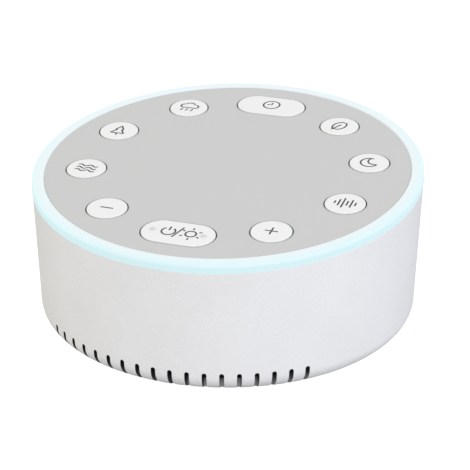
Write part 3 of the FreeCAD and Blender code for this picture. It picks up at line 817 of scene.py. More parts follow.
def ellipse_points(centre: Point, size: Point, start: float, end: float, steps: int) -> list[Point]:
    """Points along part of an ellipse.

    Args:
        centre: The ellipse's centre.
        size: Its half width and half height.
        start: The first angle in degrees, from outward to upward.
        end: The last angle.
        steps: How many stretches between them.

    Returns:
        The points, both ends included.
    """
    points = []
    for number in range(steps + 1):
        angle = math.radians(start + (end - start) * number / steps)
        across, up = size[0] * math.cos(angle), size[1] * math.sin(angle)
        points.append((centre[0] + across, centre[1] + up))
    return points


def corner(centre: Point, radius: float, start: float, end: float, steps: int) -> list[Point]:
    """Points along part of a circle, as ellipse_points gives them."""
    return ellipse_points(centre, (radius, radius), start, end, steps)


def circle_places(radius: float, angles: Iterable[float]) -> list[Point]:
    """Places on a circle about the origin at angles in degrees."""
    return [corner((0, 0), radius, angle, angle, 1)[0] for angle in angles]


@dataclass
class Deck:
    """The sloping deck's place, shared by all that lies on it."""

    slope_deg: float = 5.3
    height: float = 49.0

    def tilt(self, piece: Piece) -> Piece:
        """Tilt a piece made about the middle of the panel's top face into its place."""
        return Bench.settle(piece, metres(0, 0, self.height), (math.radians(self.slope_deg), 0, 0))


@dataclass
class Assembly:
    """What all sub-assemblies share.

    Attributes:
        deck: The sloping deck.
        finishes: The materials, mostly by the record's slots.
    """

    deck: Deck
    finishes: dict[str, Material]

    def build(self) -> None:
        """Model all pieces of the sub-assembly."""
        raise NotImplementedError

    @staticmethod
    def report(piece: Piece) -> None:
        """Log a finished piece."""
        LOG.info("made %s with %d faces", piece.name, len(piece.data.polygons))


@dataclass
class Housing(Assembly):
    """The outer wall with its slots, screw columns, board shelves and power inlet.

    Attributes:
        foot_radius: The wall where its bottom edge starts to round in.
        round_height: The bottom edge's rounding, upright.
        lip_radius: The opening that the base cover closes.
        edge_break: The small bevel of sharp edges.
        wall_cuts: How often the wall is cut across, so that its faces stay short.
        slot_pitch: The angle between two slots.
        slot_top: A slot's top above the base.
        slot_end: The radius where a slot ends under the bottom edge.
        top_round: The rounding of a slot's top, as a share of its width.
        end_round: The rounding of its inner end.
        shelf_reach: The radii between which a board shelf reaches.
        shelf_levels: Its underside and top in the deck's frame.
        inlet_steps: The power inlet's hole and its wider recess, each as how far it stands off
            the socket and the depths between which it is cut.
    """

    seam_radius: float = 59.87
    foot_radius: float = 58.4
    wall: float = 2.0
    base_level: float = 1.0
    round_height: float = 6.6
    round_width: float = 9.1
    lip_radius: float = 52.2
    lip_thickness: float = 2.2
    seam_depth: float = 2.63
    edge_break: float = 0.15
    wall_cuts: int = 5
    slot_count: int = 18
    slot_pitch: float = 5.0
    slot_width: float = 1.4
    slot_top: float = 7.8
    slot_end: float = 53.3
    top_round: float = 0.49
    end_round: float = 0.4
    column: Post = Post(radius=3.5, bore=1.33, levels=(3.2, 25.21), bore_levels=(2.2, 13.7))
    rib_width: float = 1.8
    rib_top: float = 25.2
    shelf_reach: Point = (45.0, 58.0)
    shelf_levels: Point = (-13.5, -9.5)
    shelf_width: float = 7.0
    shelf_hole: float = 1.15
    inlet_steps: tuple[Place, ...] = ((0.15, -4.0, 4.0), (1.6, 0.3, 4.0))

    def profile(self) -> list[Point]:
        """Draw the wall's section.

        Returns:
            Its points, from the lip's inside down, out, up and back inside.
        """
        start = self.base_level + self.round_height
        flat = self.foot_radius - self.round_width
        lip_edge = self.lip_radius + self.edge_break
        lip_turn = math.degrees(math.acos((lip_edge - flat) / self.round_width))
        size = (self.round_width, self.round_height)
        outer = ellipse_points((flat, start), size, -lip_turn, 0, 14)
        seam = self.deck.height - self.seam_depth
        inner_radius = self.foot_radius - self.wall
        return [
            (self.lip_radius, outer[0][1] + self.edge_break),
            *outer,
            (self.seam_radius, seam - self.edge_break),
            (self.seam_radius - self.edge_break, seam),
            (inner_radius, seam),
            (inner_radius, start),
            (self.lip_radius, outer[0][1] + self.lip_thickness),
        ]

    def slot_tool(self) -> Piece:
        """Make one slot's cutter at angle 0, with a round top and rounded inner end.

        Returns:
            The cutter.
        """
        spare = 2.0
        length = self.seam_radius + spare - self.slot_end
        top = self.base_level + self.slot_top
        size = (length, self.slot_width, top + spare)
        tool = Bench.block("slot_tool", size, (self.slot_end + length / 2, 0, top - size[2] / 2))
        high = (top - 0.01) * MM
        near = (self.slot_end + 0.01) * MM

        def lengthwise(a: Vector, b: Vector) -> bool:
            """Whether an edge runs straight outwards or upwards."""
            return abs(a.y - b.y) < HAIR

        def of_top(a: Vector, b: Vector) -> bool:
            """Whether an edge runs along the top."""
            return a.z > high and b.z > high and lengthwise(a, b)

        def of_end(a: Vector, b: Vector) -> bool:
            """Whether an upright edge is at the inner end."""
            return a.x < near and b.x < near and lengthwise(a, b) and abs(a.z - b.z) > MM

        Bench.bevel(tool, of_top, self.slot_width * self.top_round, 8)
        Bench.bevel(tool, of_end, self.slot_width * self.end_round, 5)
        return tool

    def build(self) -> None:
        """Model the wall."""
        wall = Bench.turned("housing", self.profile(), WALL_SIDES, closed=True)
        limit = (self.deck.height - self.seam_depth - 1) * MM
        Bench.pick(wall, Pick.POINTS, lambda p: p.z > limit)
        bpy.ops.transform.rotate(
            value=-math.radians(self.deck.slope_deg),
            orient_axis="X",
            center_override=(0, 0, self.deck.height * MM),
        )
        bpy.ops.object.mode_set(mode="OBJECT")
        Bench.pick(wall, Pick.EDGES, lambda a, b: abs(a.z - b.z) > self.deck.height / 2 * MM)
        bpy.ops.mesh.subdivide(number_cuts=self.wall_cuts)
        bpy.ops.object.mode_set(mode="OBJECT")
        spread = (self.slot_count - 1) * self.slot_pitch / 2
        angles = [270 - spread + self.slot_pitch * number for number in range(self.slot_count)]
        Bench.combine(wall, Bench.array(self.slot_tool(), angles))
        for tool in self.inlet_tools():
            Bench.combine(wall, tool)
        dress(wall, self.finishes["housing_plastic"])
        self.add_columns(wall)
        self.add_shelves(wall)
        Bench.smooth(wall, 35.0)
        self.darken(wall)
        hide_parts("housing_shell")
        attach(wall, ROOT_BODY)
        self.report(wall)

    def add_columns(self, wall: Piece) -> None:
        """Grow the four screw columns and the ribs that join them to the wall.

        Args:
            wall: The wall.
        """
        end = self.foot_radius - self.wall / 2
        start, top = self.base_level + self.round_height, self.rib_top
        size = (end - COLUMN_CIRCLE, self.rib_width, top - start)
        rib = Bench.block("ribs", size, ((COLUMN_CIRCLE + end) / 2, 0, (start + top) / 2))
        Bench.unite(wall, Bench.array(rib, COLUMN_ANGLES))
        Bench.add_posts(wall, self.column, circle_places(COLUMN_CIRCLE, COLUMN_ANGLES))

    def add_shelves(self, wall: Piece) -> None:
        """Grow the four bored shelves under the board's edge, square to the deck.

        Args:
            wall: The wall.
        """
        (start, end), (low, high) = self.shelf_reach, self.shelf_levels
        size = (end - start, self.shelf_width, high - low)
        shelf = Bench.block("shelves", size, ((start + end) / 2, 0, (low + high) / 2))
        Bench.unite(wall, self.deck.tilt(Bench.array(shelf, SHELF_ANGLES)))
        places = circle_places(SHELF_CIRCLE, SHELF_ANGLES)
        holes = Bench.rods("shelf_holes", self.shelf_hole, (low - 1, high + 1), places)
        Bench.combine(wall, self.deck.tilt(holes))

    def inlet_tools(self) -> list[Piece]:
        """Make the cutters of the power inlet's hole and recess in the back wall.

        Returns:
            The cutters.
        """
        low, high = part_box("power_socket_shell")
        middle = Vector(((low[0] + high[0]) / 2, high[1], (low[2] + high[2]) / 2))
        width = (high[0] - low[0]) / MM
        height = (high[2] - low[2]) / MM
        tools = []
        for grow, start, end in self.inlet_steps:
            radius = height / 2 + grow
            tool = Bench.pill("inlet_tool", width + 2 * grow, [(radius, start), (radius, end)], 48)
            tools.append(Bench.settle(tool, middle, (-math.pi / 2, 0, 0)))
        return tools

    def darken(self, wall: Piece) -> None:
        """Paint shade on the inside of the wall and on the sides of its slots, as darker materials.

        Args:
            wall: The wall, with its outer material alone.
        """
        for slot in ("inner_plastic", "slot_shade_pale", "slot_shade_deep"):
            wall.data.materials.append(self.finishes[slot])
        slot_foot, slot_top = self.base_level + 0.6, self.base_level + self.slot_top + 0.2
        lip_foot, lip_end = self.base_level + 1.2, self.slot_end + 0.8
        inner_radius = self.foot_radius - self.wall + 0.05
        for face in wall.data.polygons:
            outward = Vector((*face.center.xy, 0.0)).normalized()
            sideways = face.normal.dot(Vector((-outward.y, outward.x, 0.0)))
            radius, level = face.center.xy.length / MM, face.center.z / MM
            of_slot = abs(sideways) > 0.3 or face.normal.z < -LEVEL
            at_slots = slot_foot < level < slot_top and face.center.y < 0
            # Painted shade: the wall's inside is coloured dark grey for the shade within it.
            if level > self.base_level + self.round_height and radius < inner_radius:
                face.material_index = 1
            # Painted shade: the slots' inner ends take the pale slot shade.
            elif level > lip_foot and radius < lip_end:
                face.material_index = 2
            # Painted shade: slot sides facing +x take the deep copy and those facing -x the pale
            # copy, by how the light falls on them.
            elif at_slots and of_slot:
                face.material_index = 3 if sideways > 0 else 2


@dataclass
class LightRing(Assembly):
    """The milky ring round the deck, with the ledge that carries the panel.

    Attributes:
        face_depth: The outer face's depth under the deck.
        proud: How far the crown stands over the panel.
        ledge_depth: The ledge's top under the deck.
        guide_depth: The underside of the light guide inside the wall.
        edge_break: The small bevel of the lower edge.
    """

    outer_radius: float = 60.0
    inner_radius: float = 56.2
    face_depth: float = 2.63
    proud: float = 0.35
    outer_round: float = 1.3
    inner_round: float = 0.4
    ledge_radius: float = 52.0
    ledge_depth: float = 2.0
    guide_depth: float = 5.6
    guide_radius: float = 55.82
    edge_break: float = 0.12

    def profile(self) -> list[Point]:
        """Draw the ring's section in the deck's level frame.

        Returns:
            Its points, from the outer face up, in, down and back out.
        """
        outer_centre = (self.outer_radius - self.outer_round, self.proud - self.outer_round)
        inner_centre = (self.inner_radius + self.inner_round, self.proud - self.inner_round)
        return [
            *corner(outer_centre, self.outer_round, 0, 90, 8),
            *corner(inner_centre, self.inner_round, 90, 180, 5),
            (self.inner_radius, -self.ledge_depth),
            (self.ledge_radius, -self.ledge_depth),
            (self.ledge_radius, -self.guide_depth),
            (self.guide_radius, -self.guide_depth),
            (self.guide_radius, -self.face_depth),
            (self.outer_radius - self.edge_break, -self.face_depth),
            (self.outer_radius, self.edge_break - self.face_depth),
        ]

    def build(self) -> None:
        """Model the ring."""
        ring = self.deck.tilt(Bench.turned("glow_ring", self.profile(), WALL_SIDES, closed=True))
        Bench.smooth(ring, 35.0)
        dress(ring, self.finishes["ring_plastic"])
        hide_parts("light_ring")
        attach(ring, ROOT_BODY)
        self.report(ring)


@dataclass
class Underside(Assembly):
    """The base cover, its screws and the rubber feet, as they look from below.

    Attributes:
        level: The cover's underside above the resting plane.
        flat_radius: Where its edge starts to round up.
        round_size: The rounding's width and height.
        screw_depth: How deep a screw's head lies.
        driver_cross: The length, width and height of one arm of the driver's crossed recess.
        flare: The bevel round each recess.
        post: The posts that carry the speaker and the power board.
    """

    level: float = 1.0
    thickness: float = 2.2
    flat_radius: float = 49.3
    round_size: Point = (9.1, 6.6)
    radius: float = 52.08
    screw_radius: float = 2.5
    screw_depth: float = 0.2
    screw_round: float = 0.4
    head_height: float = 1.0
    shank_radius: float = 1.3
    screw_length: float = 11.0
    screw_gap: float = 0.3
    head_depth: float = 1.2
    driver_cross: Place = (2.6, 0.55, 1.2)
    foot_circle: float = 36.0
    foot_angles: tuple[float, ...] = (45.0, 135.0, 225.0, 315.0)
    foot_radius: float = 5.0
    foot_recess: float = 0.8
    foot_gap: float = 0.1
    foot_round: float = 0.35
    flare: float = 0.2
    post: Post = Post(radius=3.2, bore=0.98, levels=(2.5, 10.6), bore_levels=(3.2, 11.6))
    post_circle: float = 28.5
    board_posts: tuple[Point, ...] = ((-7.5, 46.9), (7.5, 46.9))

    def build(self) -> None:
        """Model the cover, the feet and the screws."""
        self.build_cover()
        self.build_feet()
        self.build_screws()

    def bore(self, radius: float, circle: float, depth: float, angles: Sequence[float]) -> Piece:
        """Make the cutters of one kind of round recess in the cover's underside.

        Args:
            radius: The recess's radius.
            circle: The circle that the recesses lie on.
            depth: How deep they go.
            angles: Their angles in degrees.

        Returns:
            The joined cutters.
        """
        wide = radius + self.flare
        profile = [(wide, self.level - 1), (wide, self.level), (radius, self.level + self.flare)]
        tool = Bench.turned("bore_tool", profile + [(radius, self.level + depth)], 64)
        return Bench.array(Bench.settle(tool, metres(circle, 0)), angles)

    def build_cover(self) -> None:
        """Model the cover with its recesses and posts."""
        turn = math.degrees(math.acos((self.radius - self.flat_radius) / self.round_size[0]))
        middle = (self.flat_radius, self.level + self.round_size[1])
        edge = ellipse_points(middle, self.round_size, -90, -turn, 8)
        top = self.level + self.thickness
        rim = [(self.radius, top), (self.radius - 2, top)]
        profile = [(self.flat_radius - 2, self.level), *edge, *rim]
        cover = Bench.turned("bottom_cover", profile, WALL_SIDES)
        head_radius = self.screw_radius + self.screw_gap
        foot_radius = self.foot_radius + self.foot_gap
        heads = self.bore(head_radius, COLUMN_CIRCLE, self.head_depth, COLUMN_ANGLES)
        feet = self.bore(foot_radius, self.foot_circle, self.foot_recess, self.foot_angles)
        Bench.combine(cover, heads)
        Bench.combine(cover, feet)
        dress(cover, self.finishes["housing_plastic"])
        places = circle_places(self.post_circle, self.foot_angles) + list(self.board_posts)
        Bench.add_posts(cover, self.post, places)
        Bench.smooth(cover)
        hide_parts("base_cover")
        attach(cover, ROOT_BODY)
        self.report(cover)

    def build_feet(self) -> None:
        """Model the four round feet with soft lower edges."""
        soft = self.foot_round
        edge = corner((self.foot_radius - soft, soft), soft, -90, 0, 6)
        flat, top = self.foot_radius - 1.2, self.level + self.foot_recess
        foot = Bench.turned("feet", [(flat, 0.0), *edge, (self.foot_radius, top)], 64)
        feet = Bench.array(Bench.settle(foot, metres(self.foot_circle, 0)), self.foot_angles)
        Bench.smooth(feet)
        dress(feet, self.finishes["foot_rubber"])
        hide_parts("rubber_feet")
        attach(feet, ROOT_BODY)
        self.report(feet)

    def build_screws(self) -> None:
        """Model the four screws with their crossed driver recesses."""
        soft, wide, thin = self.screw_round, self.screw_radius, self.shank_radius
        seat = self.level + self.screw_depth
        neck, end = seat + self.head_height, seat + self.screw_length
        edge = corner((wide - soft, seat + soft), soft, -90, 0, 5)
        profile = [(wide - 1.0, seat), *edge, (wide, neck), (thin, neck), (thin, end)]
        screw = Bench.turned("cover_screws", profile, 48)
        length, width, height = self.driver_cross
        for size in ((length, width, height), (width, length, height)):
            Bench.combine(screw, Bench.block("driver_tool", size, (0, 0, seat)))
        screws = Bench.array(Bench.settle(screw, metres(COLUMN_CIRCLE, 0)), COLUMN_ANGLES)
        Bench.smooth(screws)
        dress(screws, self.finishes["screw_steel"])
        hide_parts("base_screws")
        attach(screws, ROOT_BODY)
        self.report(screws)


class Sign:
    """A printed sign drawn with round-nibbed strokes, in millimetres about the key's middle."""

    def __init__(self, name: str, nib: float) -> None:
        """Start an empty sign.

        Args:
            name: The piece's name.
            nib: The strokes' width.
        """
        self.curve = bpy.data.curves.new(name, "CURVE")
        self.curve.dimensions = "3D"
        self.curve.bevel_depth = nib / 2 * MM
        self.curve.bevel_resolution = 2
        self.curve.use_fill_caps = True
        self.name = name

    def stroke(self, points: Sequence[Point], closed: bool = False) -> None:
        """Draw one stroke through points.

        Args:
            points: The points in order.
            closed: Whether the stroke comes back to its start.
        """
        spline = self.curve.splines.new("POLY")
        spline.points.add(len(points) - 1)
        for target, point in zip(spline.points, points):
            target.co = (*metres(*point), 1)
        spline.use_cyclic_u = closed

    def strokes(self, *lines: Sequence[Point]) -> None:
        """Draw several open strokes."""
        for line in lines:
            self.stroke(line)

    def arc(self, centre: Point, radius: float, start: float, end: float, steps: int = 28) -> None:
        """Draw part of a circle, closed where it is a whole one.

        Args:
            centre: The circle's centre.
            radius: Its radius.
            start: The first angle in degrees.
            end: The last angle.
            steps: How many stretches between them.
        """
        whole = abs(end - start) >= 360
        points = corner(centre, radius, start, end, steps)
        self.stroke(points[:-1] if whole else points, whole)

    def timer(self) -> None:
        """A clock face with two hands."""
        self.arc((0, 0.5), 2.65, 0, 360)
        self.stroke([(0, 2.0), (0, 0.5), (-1.5, 0.5)])

    def power_light(self) -> None:
        """The standby mark, a slash and a small lamp with rays."""
        self.arc((-3.0, 0.1), 2.05, 125, 415)
        self.strokes([(-3.0, 0.7), (-3.0, 2.8)], [(0.8, 3.2), (-1.0, -2.8)])
        middle = (3.8, 0.2)
        self.arc(middle, 1.6, 0, 360)
        for turn in range(30, 390, 60):
            self.stroke([corner(middle, radius, turn, turn, 1)[0] for radius in (2.45, 3.4)])

    def minus(self) -> None:
        """One level bar."""
        self.stroke([(-2.0, 0), (2.0, 0)])

    def plus(self) -> None:
        """Two crossed bars."""
        self.minus()
        self.stroke([(0, -2.0), (0, 2.0)])

    def rain(self) -> None:
        """A cloud with three slanting drops."""
        self.arc((-1.7, 0.9), 1.2, 95, 270, 12)
        self.arc((-0.1, 1.7), 1.5, 20, 165, 14)
        self.arc((1.9, 0.8), 1.1, -90, 95, 12)
        drops = [[(x, -1.2), (x - 0.5, -2.5)] for x in (-1.6, 0.1, 1.8)]
        self.strokes([(-1.7, -0.3), (1.9, -0.3)], *drops)

    def forest(self) -> None:
        """A fir of two tiers on a short trunk, one straight stroke for each side."""
        left = [(-0.7, 0.5), (-1.3, 0.5), (0, 3.0)]
        right = [(1.3, 0.5), (0.7, 0.5), (2.2, -1.9), (-2.2, -1.9)]
        outline = left + right
        self.strokes(*([start, end] for start, end in zip(outline, outline[1:] + outline[:1])))
        self.stroke([(0, -1.9), (0, -3.2)])

    def ocean(self) -> None:
        """Three rows of waves."""
        start, length, height, turns, steps = -3.2, 6.4, 0.9, 2.0, 32
        for level in (1.6, 0, -1.6):
            row = []
            for number in range(steps + 1):
                share = number / steps
                lift = height / 2 * math.sin(2 * math.pi * turns * share)
                row.append((start + length * share, level + lift))
            self.stroke(row)

    def white_noise(self) -> None:
        """Sound level bars of uneven heights."""
        heights = (0.8, 1.9, 2.9, 1.4, 2.3, 1.0)
        for number, height in enumerate(heights):
            place = (number - (len(heights) - 1) / 2) * 1.25
            self.stroke([(place, -height), (place, height)])

    def calm(self) -> None:
        """A crescent moon."""
        outer = corner((0, 0), 2.7, 70, 340, 26)
        inner = corner((1.45, 1.05), 2.05, 300, 114, 20)
        self.stroke(outer + inner[1:-1], True)

    def relax(self) -> None:
        """A leaf with its rib."""
        outline = corner((1.1, -0.1), 3.0, 128, 232, 16) + corner((-1.1, 0.1), 3.0, -52, 52, 16)
        self.stroke([(x * 0.9 + y * 0.45, y - x * 0.45) for x, y in outline], True)
        self.stroke([(-1.9, -3.0), (0.3, 0.9)])

    def press(self, relief: float) -> Piece:
        """Turn the strokes into a flat raised mesh.

        Args:
            relief: The ink's height over its whole thickness in millimetres.

        Returns:
            The mesh piece.
        """
        piece = bpy.data.objects.new(self.name, self.curve)
        bpy.context.collection.objects.link(piece)
        Bench.hold(piece)
        bpy.ops.object.convert(target="MESH")
        piece = bpy.context.object
        piece.scale.z = relief * MM / (self.curve.bevel_depth * 2)
        return Bench.settle(piece)


class KeyForm(Enum):
    """The two outlines that keys have, each with its length and width in millimetres."""

    ROUND = (12.1, 12.1)
    OVAL = (22.2, 12.4)


@dataclass(frozen=True)
class KeyPlan:
    """One key: its name, how its sign is drawn, and its outline."""

    name: str
    draw: Callable[[Sign], None]
    form: KeyForm = KeyForm.ROUND


KEY_PLANS = (
    KeyPlan("timer", Sign.timer, KeyForm.OVAL),
    KeyPlan("rain", Sign.rain),
    KeyPlan("forest", Sign.forest),
    KeyPlan("ocean", Sign.ocean),
    KeyPlan("volume_down", Sign.minus),
    KeyPlan("power_light", Sign.power_light, KeyForm.OVAL),
    KeyPlan("volume_up", Sign.plus),
    KeyPlan("white_noise", Sign.white_noise),
    KeyPlan("calm", Sign.calm),
    KeyPlan("relax", Sign.relax),
)


@dataclass
class KeyDeck(Assembly):
    """The panel, its ten keys and their signs.

    Attributes:
        ring_radius: The circle of the keys' middles.
        flare: The bevel round each opening's top.
        post: The posts under the panel, which hold the board.
        post_circle: The circle of the four posts beside the oval keys.
        key_proud: How far the keys stand out of the panel.
        tab_reach: How far a key's two tabs reach under the panel.
        cap_bottom: The underside of the tabs and the cap.
        stem_side: The side of the stem that presses the switch.
        stem_bite: How far the stem reaches into the cap.
        pip_spread: How far the two raised dots lie from the middle of the key that has them.
    """

    ring_radius: float = 43.3
    gap: float = 0.28
    flare: float = 0.15
    panel_radius: float = 56.1
    panel_thickness: float = 2.0
    edge_break: float = 0.3
    post: Post = Post(radius=2.5, bore=0.98, levels=(-7.9, -1.5), bore_levels=(-8.9, -2.5))
    post_circle: float = 46.0
    post_angles: tuple[float, ...] = (69.0, 111.0, 249.0, 291.0)
    key_proud: float = 0.3
    key_round: float = 0.35
    tab_reach: float = 0.9
    tab_width: float = 3.0
    tab_top: float = -2.15
    cap_bottom: float = -2.95
    stem_side: float = 4.0
    stem_bottom: float = -3.9
    stem_bite: float = 0.4
    ink_relief: float = 0.06
    nib: float = 0.55
    pip_key: str = "power_light"
    pip_spread: float = 7.75
    pip_radius: float = 0.95
    pip_height: float = 0.35

    def build(self) -> None:
        """Model the panel, and each key with its sign."""
        self.build_panel()
        for number in range(len(KEY_PLANS)):
            self.build_key(number)
            self.build_sign(number)

    def place(self, number: int) -> Vector:
        """The middle of a key in the deck's frame, in millimetres."""
        angle = math.radians(90 + number * 360 / len(KEY_PLANS))
        return Vector((self.ring_radius * math.cos(angle), self.ring_radius * math.sin(angle), 0))

    def hole_tool(self, number: int) -> Piece:
        """Make the cutter of one key's opening, flared at the top so that the edge comes out soft.

        Args:
            number: The key's number round the deck.

        Returns:
            The cutter.
        """
        length, width = KEY_PLANS[number].form.value
        radius = width / 2 + self.gap
        wide = radius + self.flare
        profile = [(radius, -self.panel_thickness - 1), (radius, -self.flare), (wide, 0), (wide, 1)]
        tool = Bench.pill("hole_tool", length + 2 * self.gap + 2 * self.flare, profile, 72)
        return Bench.settle(tool, self.place(number) * MM)

    def build_panel(self) -> None:
        """Model the panel with its posts and its key openings, whose edges get painted shade."""
        edge_centre = (self.panel_radius - self.edge_break, -self.edge_break)
        edge = corner(edge_centre, self.edge_break, 0, 90, 4)
        hold = (self.panel_radius - 3 * self.edge_break, 0)
        profile = [(self.panel_radius, -self.panel_thickness), *edge, hold]
        panel = Bench.turned("deck_panel", profile, WALL_SIDES)
        tools = [self.hole_tool(number) for number in range(len(KEY_PLANS))]
        Bench.combine(panel, Bench.join(tools))
        dress(panel, self.finishes["panel_plastic"])
        places = circle_places(self.post_circle, self.post_angles)
        places += circle_places(SHELF_CIRCLE, SHELF_ANGLES)
        Bench.add_posts(panel, self.post, places)
        # Painted shade: the openings' walls and flares are grey, for the shadow in the gaps round
        # the keys.
        panel.data.materials.append(self.finishes["seam_plastic"])
        rim = (self.panel_radius - 1) * MM
        for face in panel.data.polygons:
            upper = face.center.z > -self.panel_thickness * MM
            if upper and abs(face.normal.z) < LEVEL and face.center.xy.length < rim:
                face.material_index = 1
        self.deck.tilt(panel)
        Bench.smooth(panel)
        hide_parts("top_panel")
        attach(panel, ROOT_BODY)
        self.report(panel)

    def build_key(self, number: int) -> None:
        """Model one key: its cap, its two tabs and its stem.

        Args:
            number: The key's number round the deck.
        """
        plan = KEY_PLANS[number]
        length, width = plan.form.value
        radius = width / 2
        crown_centre = (radius - self.key_round, self.key_proud - self.key_round)
        crown = corner(crown_centre, self.key_round, 0, 90, 6)
        hold = (radius - 2 * self.key_round, self.key_proud)
        key = Bench.pill(plan.name + "_cap", length, [(radius, self.cap_bottom), *crown, hold], 96)
        tab_size = (length + 2 * self.tab_reach, self.tab_width, self.tab_top - self.cap_bottom)
        tabs = Bench.block("tabs", tab_size, (0, 0, (self.tab_top + self.cap_bottom) / 2))
        stem_height = self.cap_bottom + self.stem_bite - self.stem_bottom
        stem_size = (self.stem_side, self.stem_side, stem_height)
        stem = Bench.block("stem", stem_size, (0, 0, self.stem_bottom + stem_height / 2))
        dress(key, self.finishes["key_plastic"])
        for part in (tabs, stem):
            Bench.unite(key, part)
        if plan.name == self.pip_key:
            for side in (-1, 1):
                Bench.combine(key, self.pip(side * self.pip_spread), Merge.UNITE)
        self.deck.tilt(Bench.settle(key, self.place(number) * MM))
        Bench.smooth(key)
        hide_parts(plan.name + "_key")
        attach(key, plan.name)
        self.report(key)

    def pip(self, place: float) -> Piece:
        """Make a low raised dot on a key's top face.

        Args:
            place: How far it lies from the key's middle.

        Returns:
            The dot.
        """
        flat = 0.01
        size = (self.pip_radius - flat, self.pip_height)
        crown = ellipse_points((flat, self.key_proud), size, 0, 88, 6)
        pip = Bench.turned("pip", [(self.pip_radius, self.key_proud - 0.1), *crown], 32)
        # Painted shade: the dot is key-white plastic, greyed to stand for the shading round its
        # dome.
        dress(pip, self.finishes["pip_plastic"])
        return Bench.settle(pip, metres(place, 0))

    def build_sign(self, number: int) -> None:
        """Print one key's sign on its cap.

        Args:
            number: The key's number round the deck.
        """
        plan = KEY_PLANS[number]
        drawing = Sign(plan.name + "_sign", self.nib)
        plan.draw(drawing)
        top = self.place(number) + Vector((0, 0, self.key_proud))
        sign = self.deck.tilt(Bench.settle(drawing.press(self.ink_relief), top * MM))
        Bench.smooth(sign, 60)
        dress(sign, self.finishes["sign_ink"])
        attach(sign, plan.name)
        self.report(sign)


@dataclass(frozen=True)
class Softbox:
    """A soft square light that faces a target, with its sizes in metres and its power in watts."""

    name: str
    place: Place
    side: float
    power: float
    colour: Colour
    target: Place = (0.0, 0.0, 0.03)

    def hang(self) -> None:
        """Add the light to the scene."""
        data = bpy.data.lights.new(self.name, "AREA")
        data.size = self.side
        data.energy = self.power
        data.color = self.colour
        light = bpy.data.objects.new(self.name, data)
        bpy.context.collection.objects.link(light)
        light.location = self.place
        aim = Vector(self.target) - Vector(self.place)
        light.rotation_euler = aim.to_track_quat("-Z", "Y").to_euler()


@dataclass
class Studio:
    """The floor, the lights and the camera.

    Attributes:
        camera_offset: The camera's place from the deck's middle, in metres.
        world_strength: How bright the surroundings light the scene. The camera sees them white.
    """

    deck: Deck
    camera_offset: Place = (0.1725, -0.4939, 0.2175)
    aim: Place = (-0.2958, 0.8589, -0.4180)
    lens_mm: float = 141.8
    sensor_mm: float = 36.0
    world_strength: float = 0.88
    lights: tuple[Softbox, ...] = (
        Softbox("left_softbox", (-1.4, -0.2, 0.6), side=1.2, power=2.6, colour=(1.0, 0.99, 0.6)),
        Softbox("front_softbox", (0.7, -1.4, 0.6), side=1.4, power=6.2, colour=(1.0, 1.0, 0.99)),
        Softbox("right_softbox", (1.5, -0.3, 0.6), side=1.2, power=5.0, colour=(0.66, 0.8, 1.0)),
    )

    def build_camera(self) -> None:
        """Place the camera at the photograph's angle."""
        data = bpy.data.cameras.new("camera")
        data.lens = self.lens_mm
        data.sensor_width = self.sensor_mm
        data.clip_start = 0.01
        camera = bpy.data.objects.new("camera", data)
        bpy.context.collection.objects.link(camera)
        camera.location = Vector(self.camera_offset) + Vector((0, 0, self.deck.height * MM))
        camera.rotation_euler = Vector(self.aim).to_track_quat("-Z", "Y").to_euler()
        bpy.context.scene.camera = camera

    def build_floor(self) -> None:
        """Lay the plain pale floor."""
        Bench.clear()
        bpy.ops.mesh.primitive_plane_add(size=6)
        floor = bpy.context.object
        floor.name = "floor"
        dress(floor, StudioFloor().build())

    def build_world(self) -> None:
        """Light the surroundings evenly, and show them white to the camera."""
        world = bpy.data.worlds.new("studio")
        bpy.context.scene.world = world
        world.use_nodes = True
        tree = world.node_tree
        background = tree.nodes["Background"]
        background.inputs["Color"].default_value = (1.0, 1.0, 1.0, 1.0)
        seen = Signal(tree, tree.nodes.new("ShaderNodeLightPath").outputs["Is Camera Ray"])
        strength = seen * (1 - self.world_strength) + self.world_strength
        tree.links.new(strength.socket, background.inputs["Strength"])
        bpy.context.scene.view_settings.view_transform = "Standard"

    def build(self) -> None:
        """Set up the whole studio."""
        self.build_camera()
        self.build_floor()
        for light in self.lights:
            light.hang()
        self.build_world()


@dataclass
class Inside(Assembly):
    """The carried-over pieces inside the machine, each with its finish."""

    def build(self) -> None:
        """Give every visible piece of the frame a material by its record slot."""
        slots = {part["node"]: part["material_slot"] for part in frame["record"]["subparts"]}
        for name, node in frame["nodes"].items():
            material = self.finishes[slots[name]]
            for slot in node.material_slots:
                slot.material = material
            LOG.info("dressed %s in %s", name, material.name)


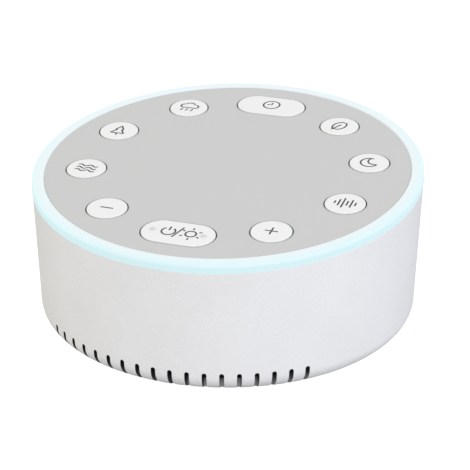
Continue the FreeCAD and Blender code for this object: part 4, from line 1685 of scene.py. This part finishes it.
def make_finishes(deck: Deck) -> dict[str, Material]:
    """Make the materials of the record's slots and of the pieces' smaller areas.

    Args:
        deck: The deck, whose slope the ring's glow follows.

    Returns:
        The materials by slot or area.
    """
    plans = (
        MouldedPlastic(
            "housing_plastic", srgb(242, 241, 242), 0.6, grain=(0.45, 0.05), mottle=0.03
        ),
        MouldedPlastic(
            "panel_plastic", srgb(201, 201, 200), 0.5, grain=(0.25, 0.006), mottle=0.008
        ),
        MouldedPlastic("key_plastic", srgb(237, 237, 236), 0.45, grain=(0.25, 0.004), mottle=0.006),
        # Painted shade: dark grey for the shade inside the housing, whose plastic is white.
        MouldedPlastic("inner_plastic", srgb(60, 60, 62), 0.6, grain=(0.4, 0.02)),
        MouldedPlastic("component_plastic", srgb(38, 38, 40), 0.5, grain=(0.2, 0.01)),
        MouldedPlastic("component_white", srgb(236, 232, 220), 0.45, grain=(0.2, 0.005)),
        # Painted shade: grey for the shadow in the gaps round the keys.
        MouldedPlastic("seam_plastic", srgb(126, 126, 128), 0.6, grain=(0.4, 0.01)),
        # Painted shade: the raised dots are key-white, greyed for the shading round their domes.
        MouldedPlastic("pip_plastic", srgb(212, 212, 211), 0.45, grain=(0.25, 0.004)),
        GlowingRing("ring_plastic", math.radians(deck.slope_deg), deck.height * MM),
        # Painted shade on the slots' sides: a pale copy for sides turned to the brighter light, a
        # deep copy for those turned from it.
        SlotShade("slot_shade_pale", low=srgb(196, 196, 200)),
        SlotShade("slot_shade_deep", low=srgb(96, 96, 104)),
        PrintedInk("sign_ink", srgb(62, 62, 66)),
        SoftRubber("foot_rubber", srgb(52, 52, 52)),
        SoftRubber("magnet_ferrite", srgb(58, 58, 62)),
        SoftRubber("surround_rubber", srgb(36, 36, 36)),
        SoftRubber("gasket_foam", srgb(70, 70, 70)),
        PlatedSteel("screw_steel", srgb(190, 190, 192)),
        PlatedSteel("steel", srgb(200, 200, 204), roughness=0.3),
        PlatedSteel("capacitor_can", srgb(214, 215, 218), roughness=0.25),
        BoardLaminate("board_laminate", srgb(18, 92, 52)),
        PressedPaper("cone_paper", srgb(46, 46, 46)),
    )
    return {plan.name: plan.build() for plan in plans}


def main() -> None:
    """Build the machine, one sub-assembly after the other, and then the studio."""
    logging.basicConfig(level=logging.INFO, format="%(message)s")
    deck = Deck()
    finishes = make_finishes(deck)
    for kind in (Inside, Housing, LightRing, Underside, KeyDeck):
        kind(deck, finishes).build()
    Studio(deck).build()


if __name__ == "__main__":
    main()
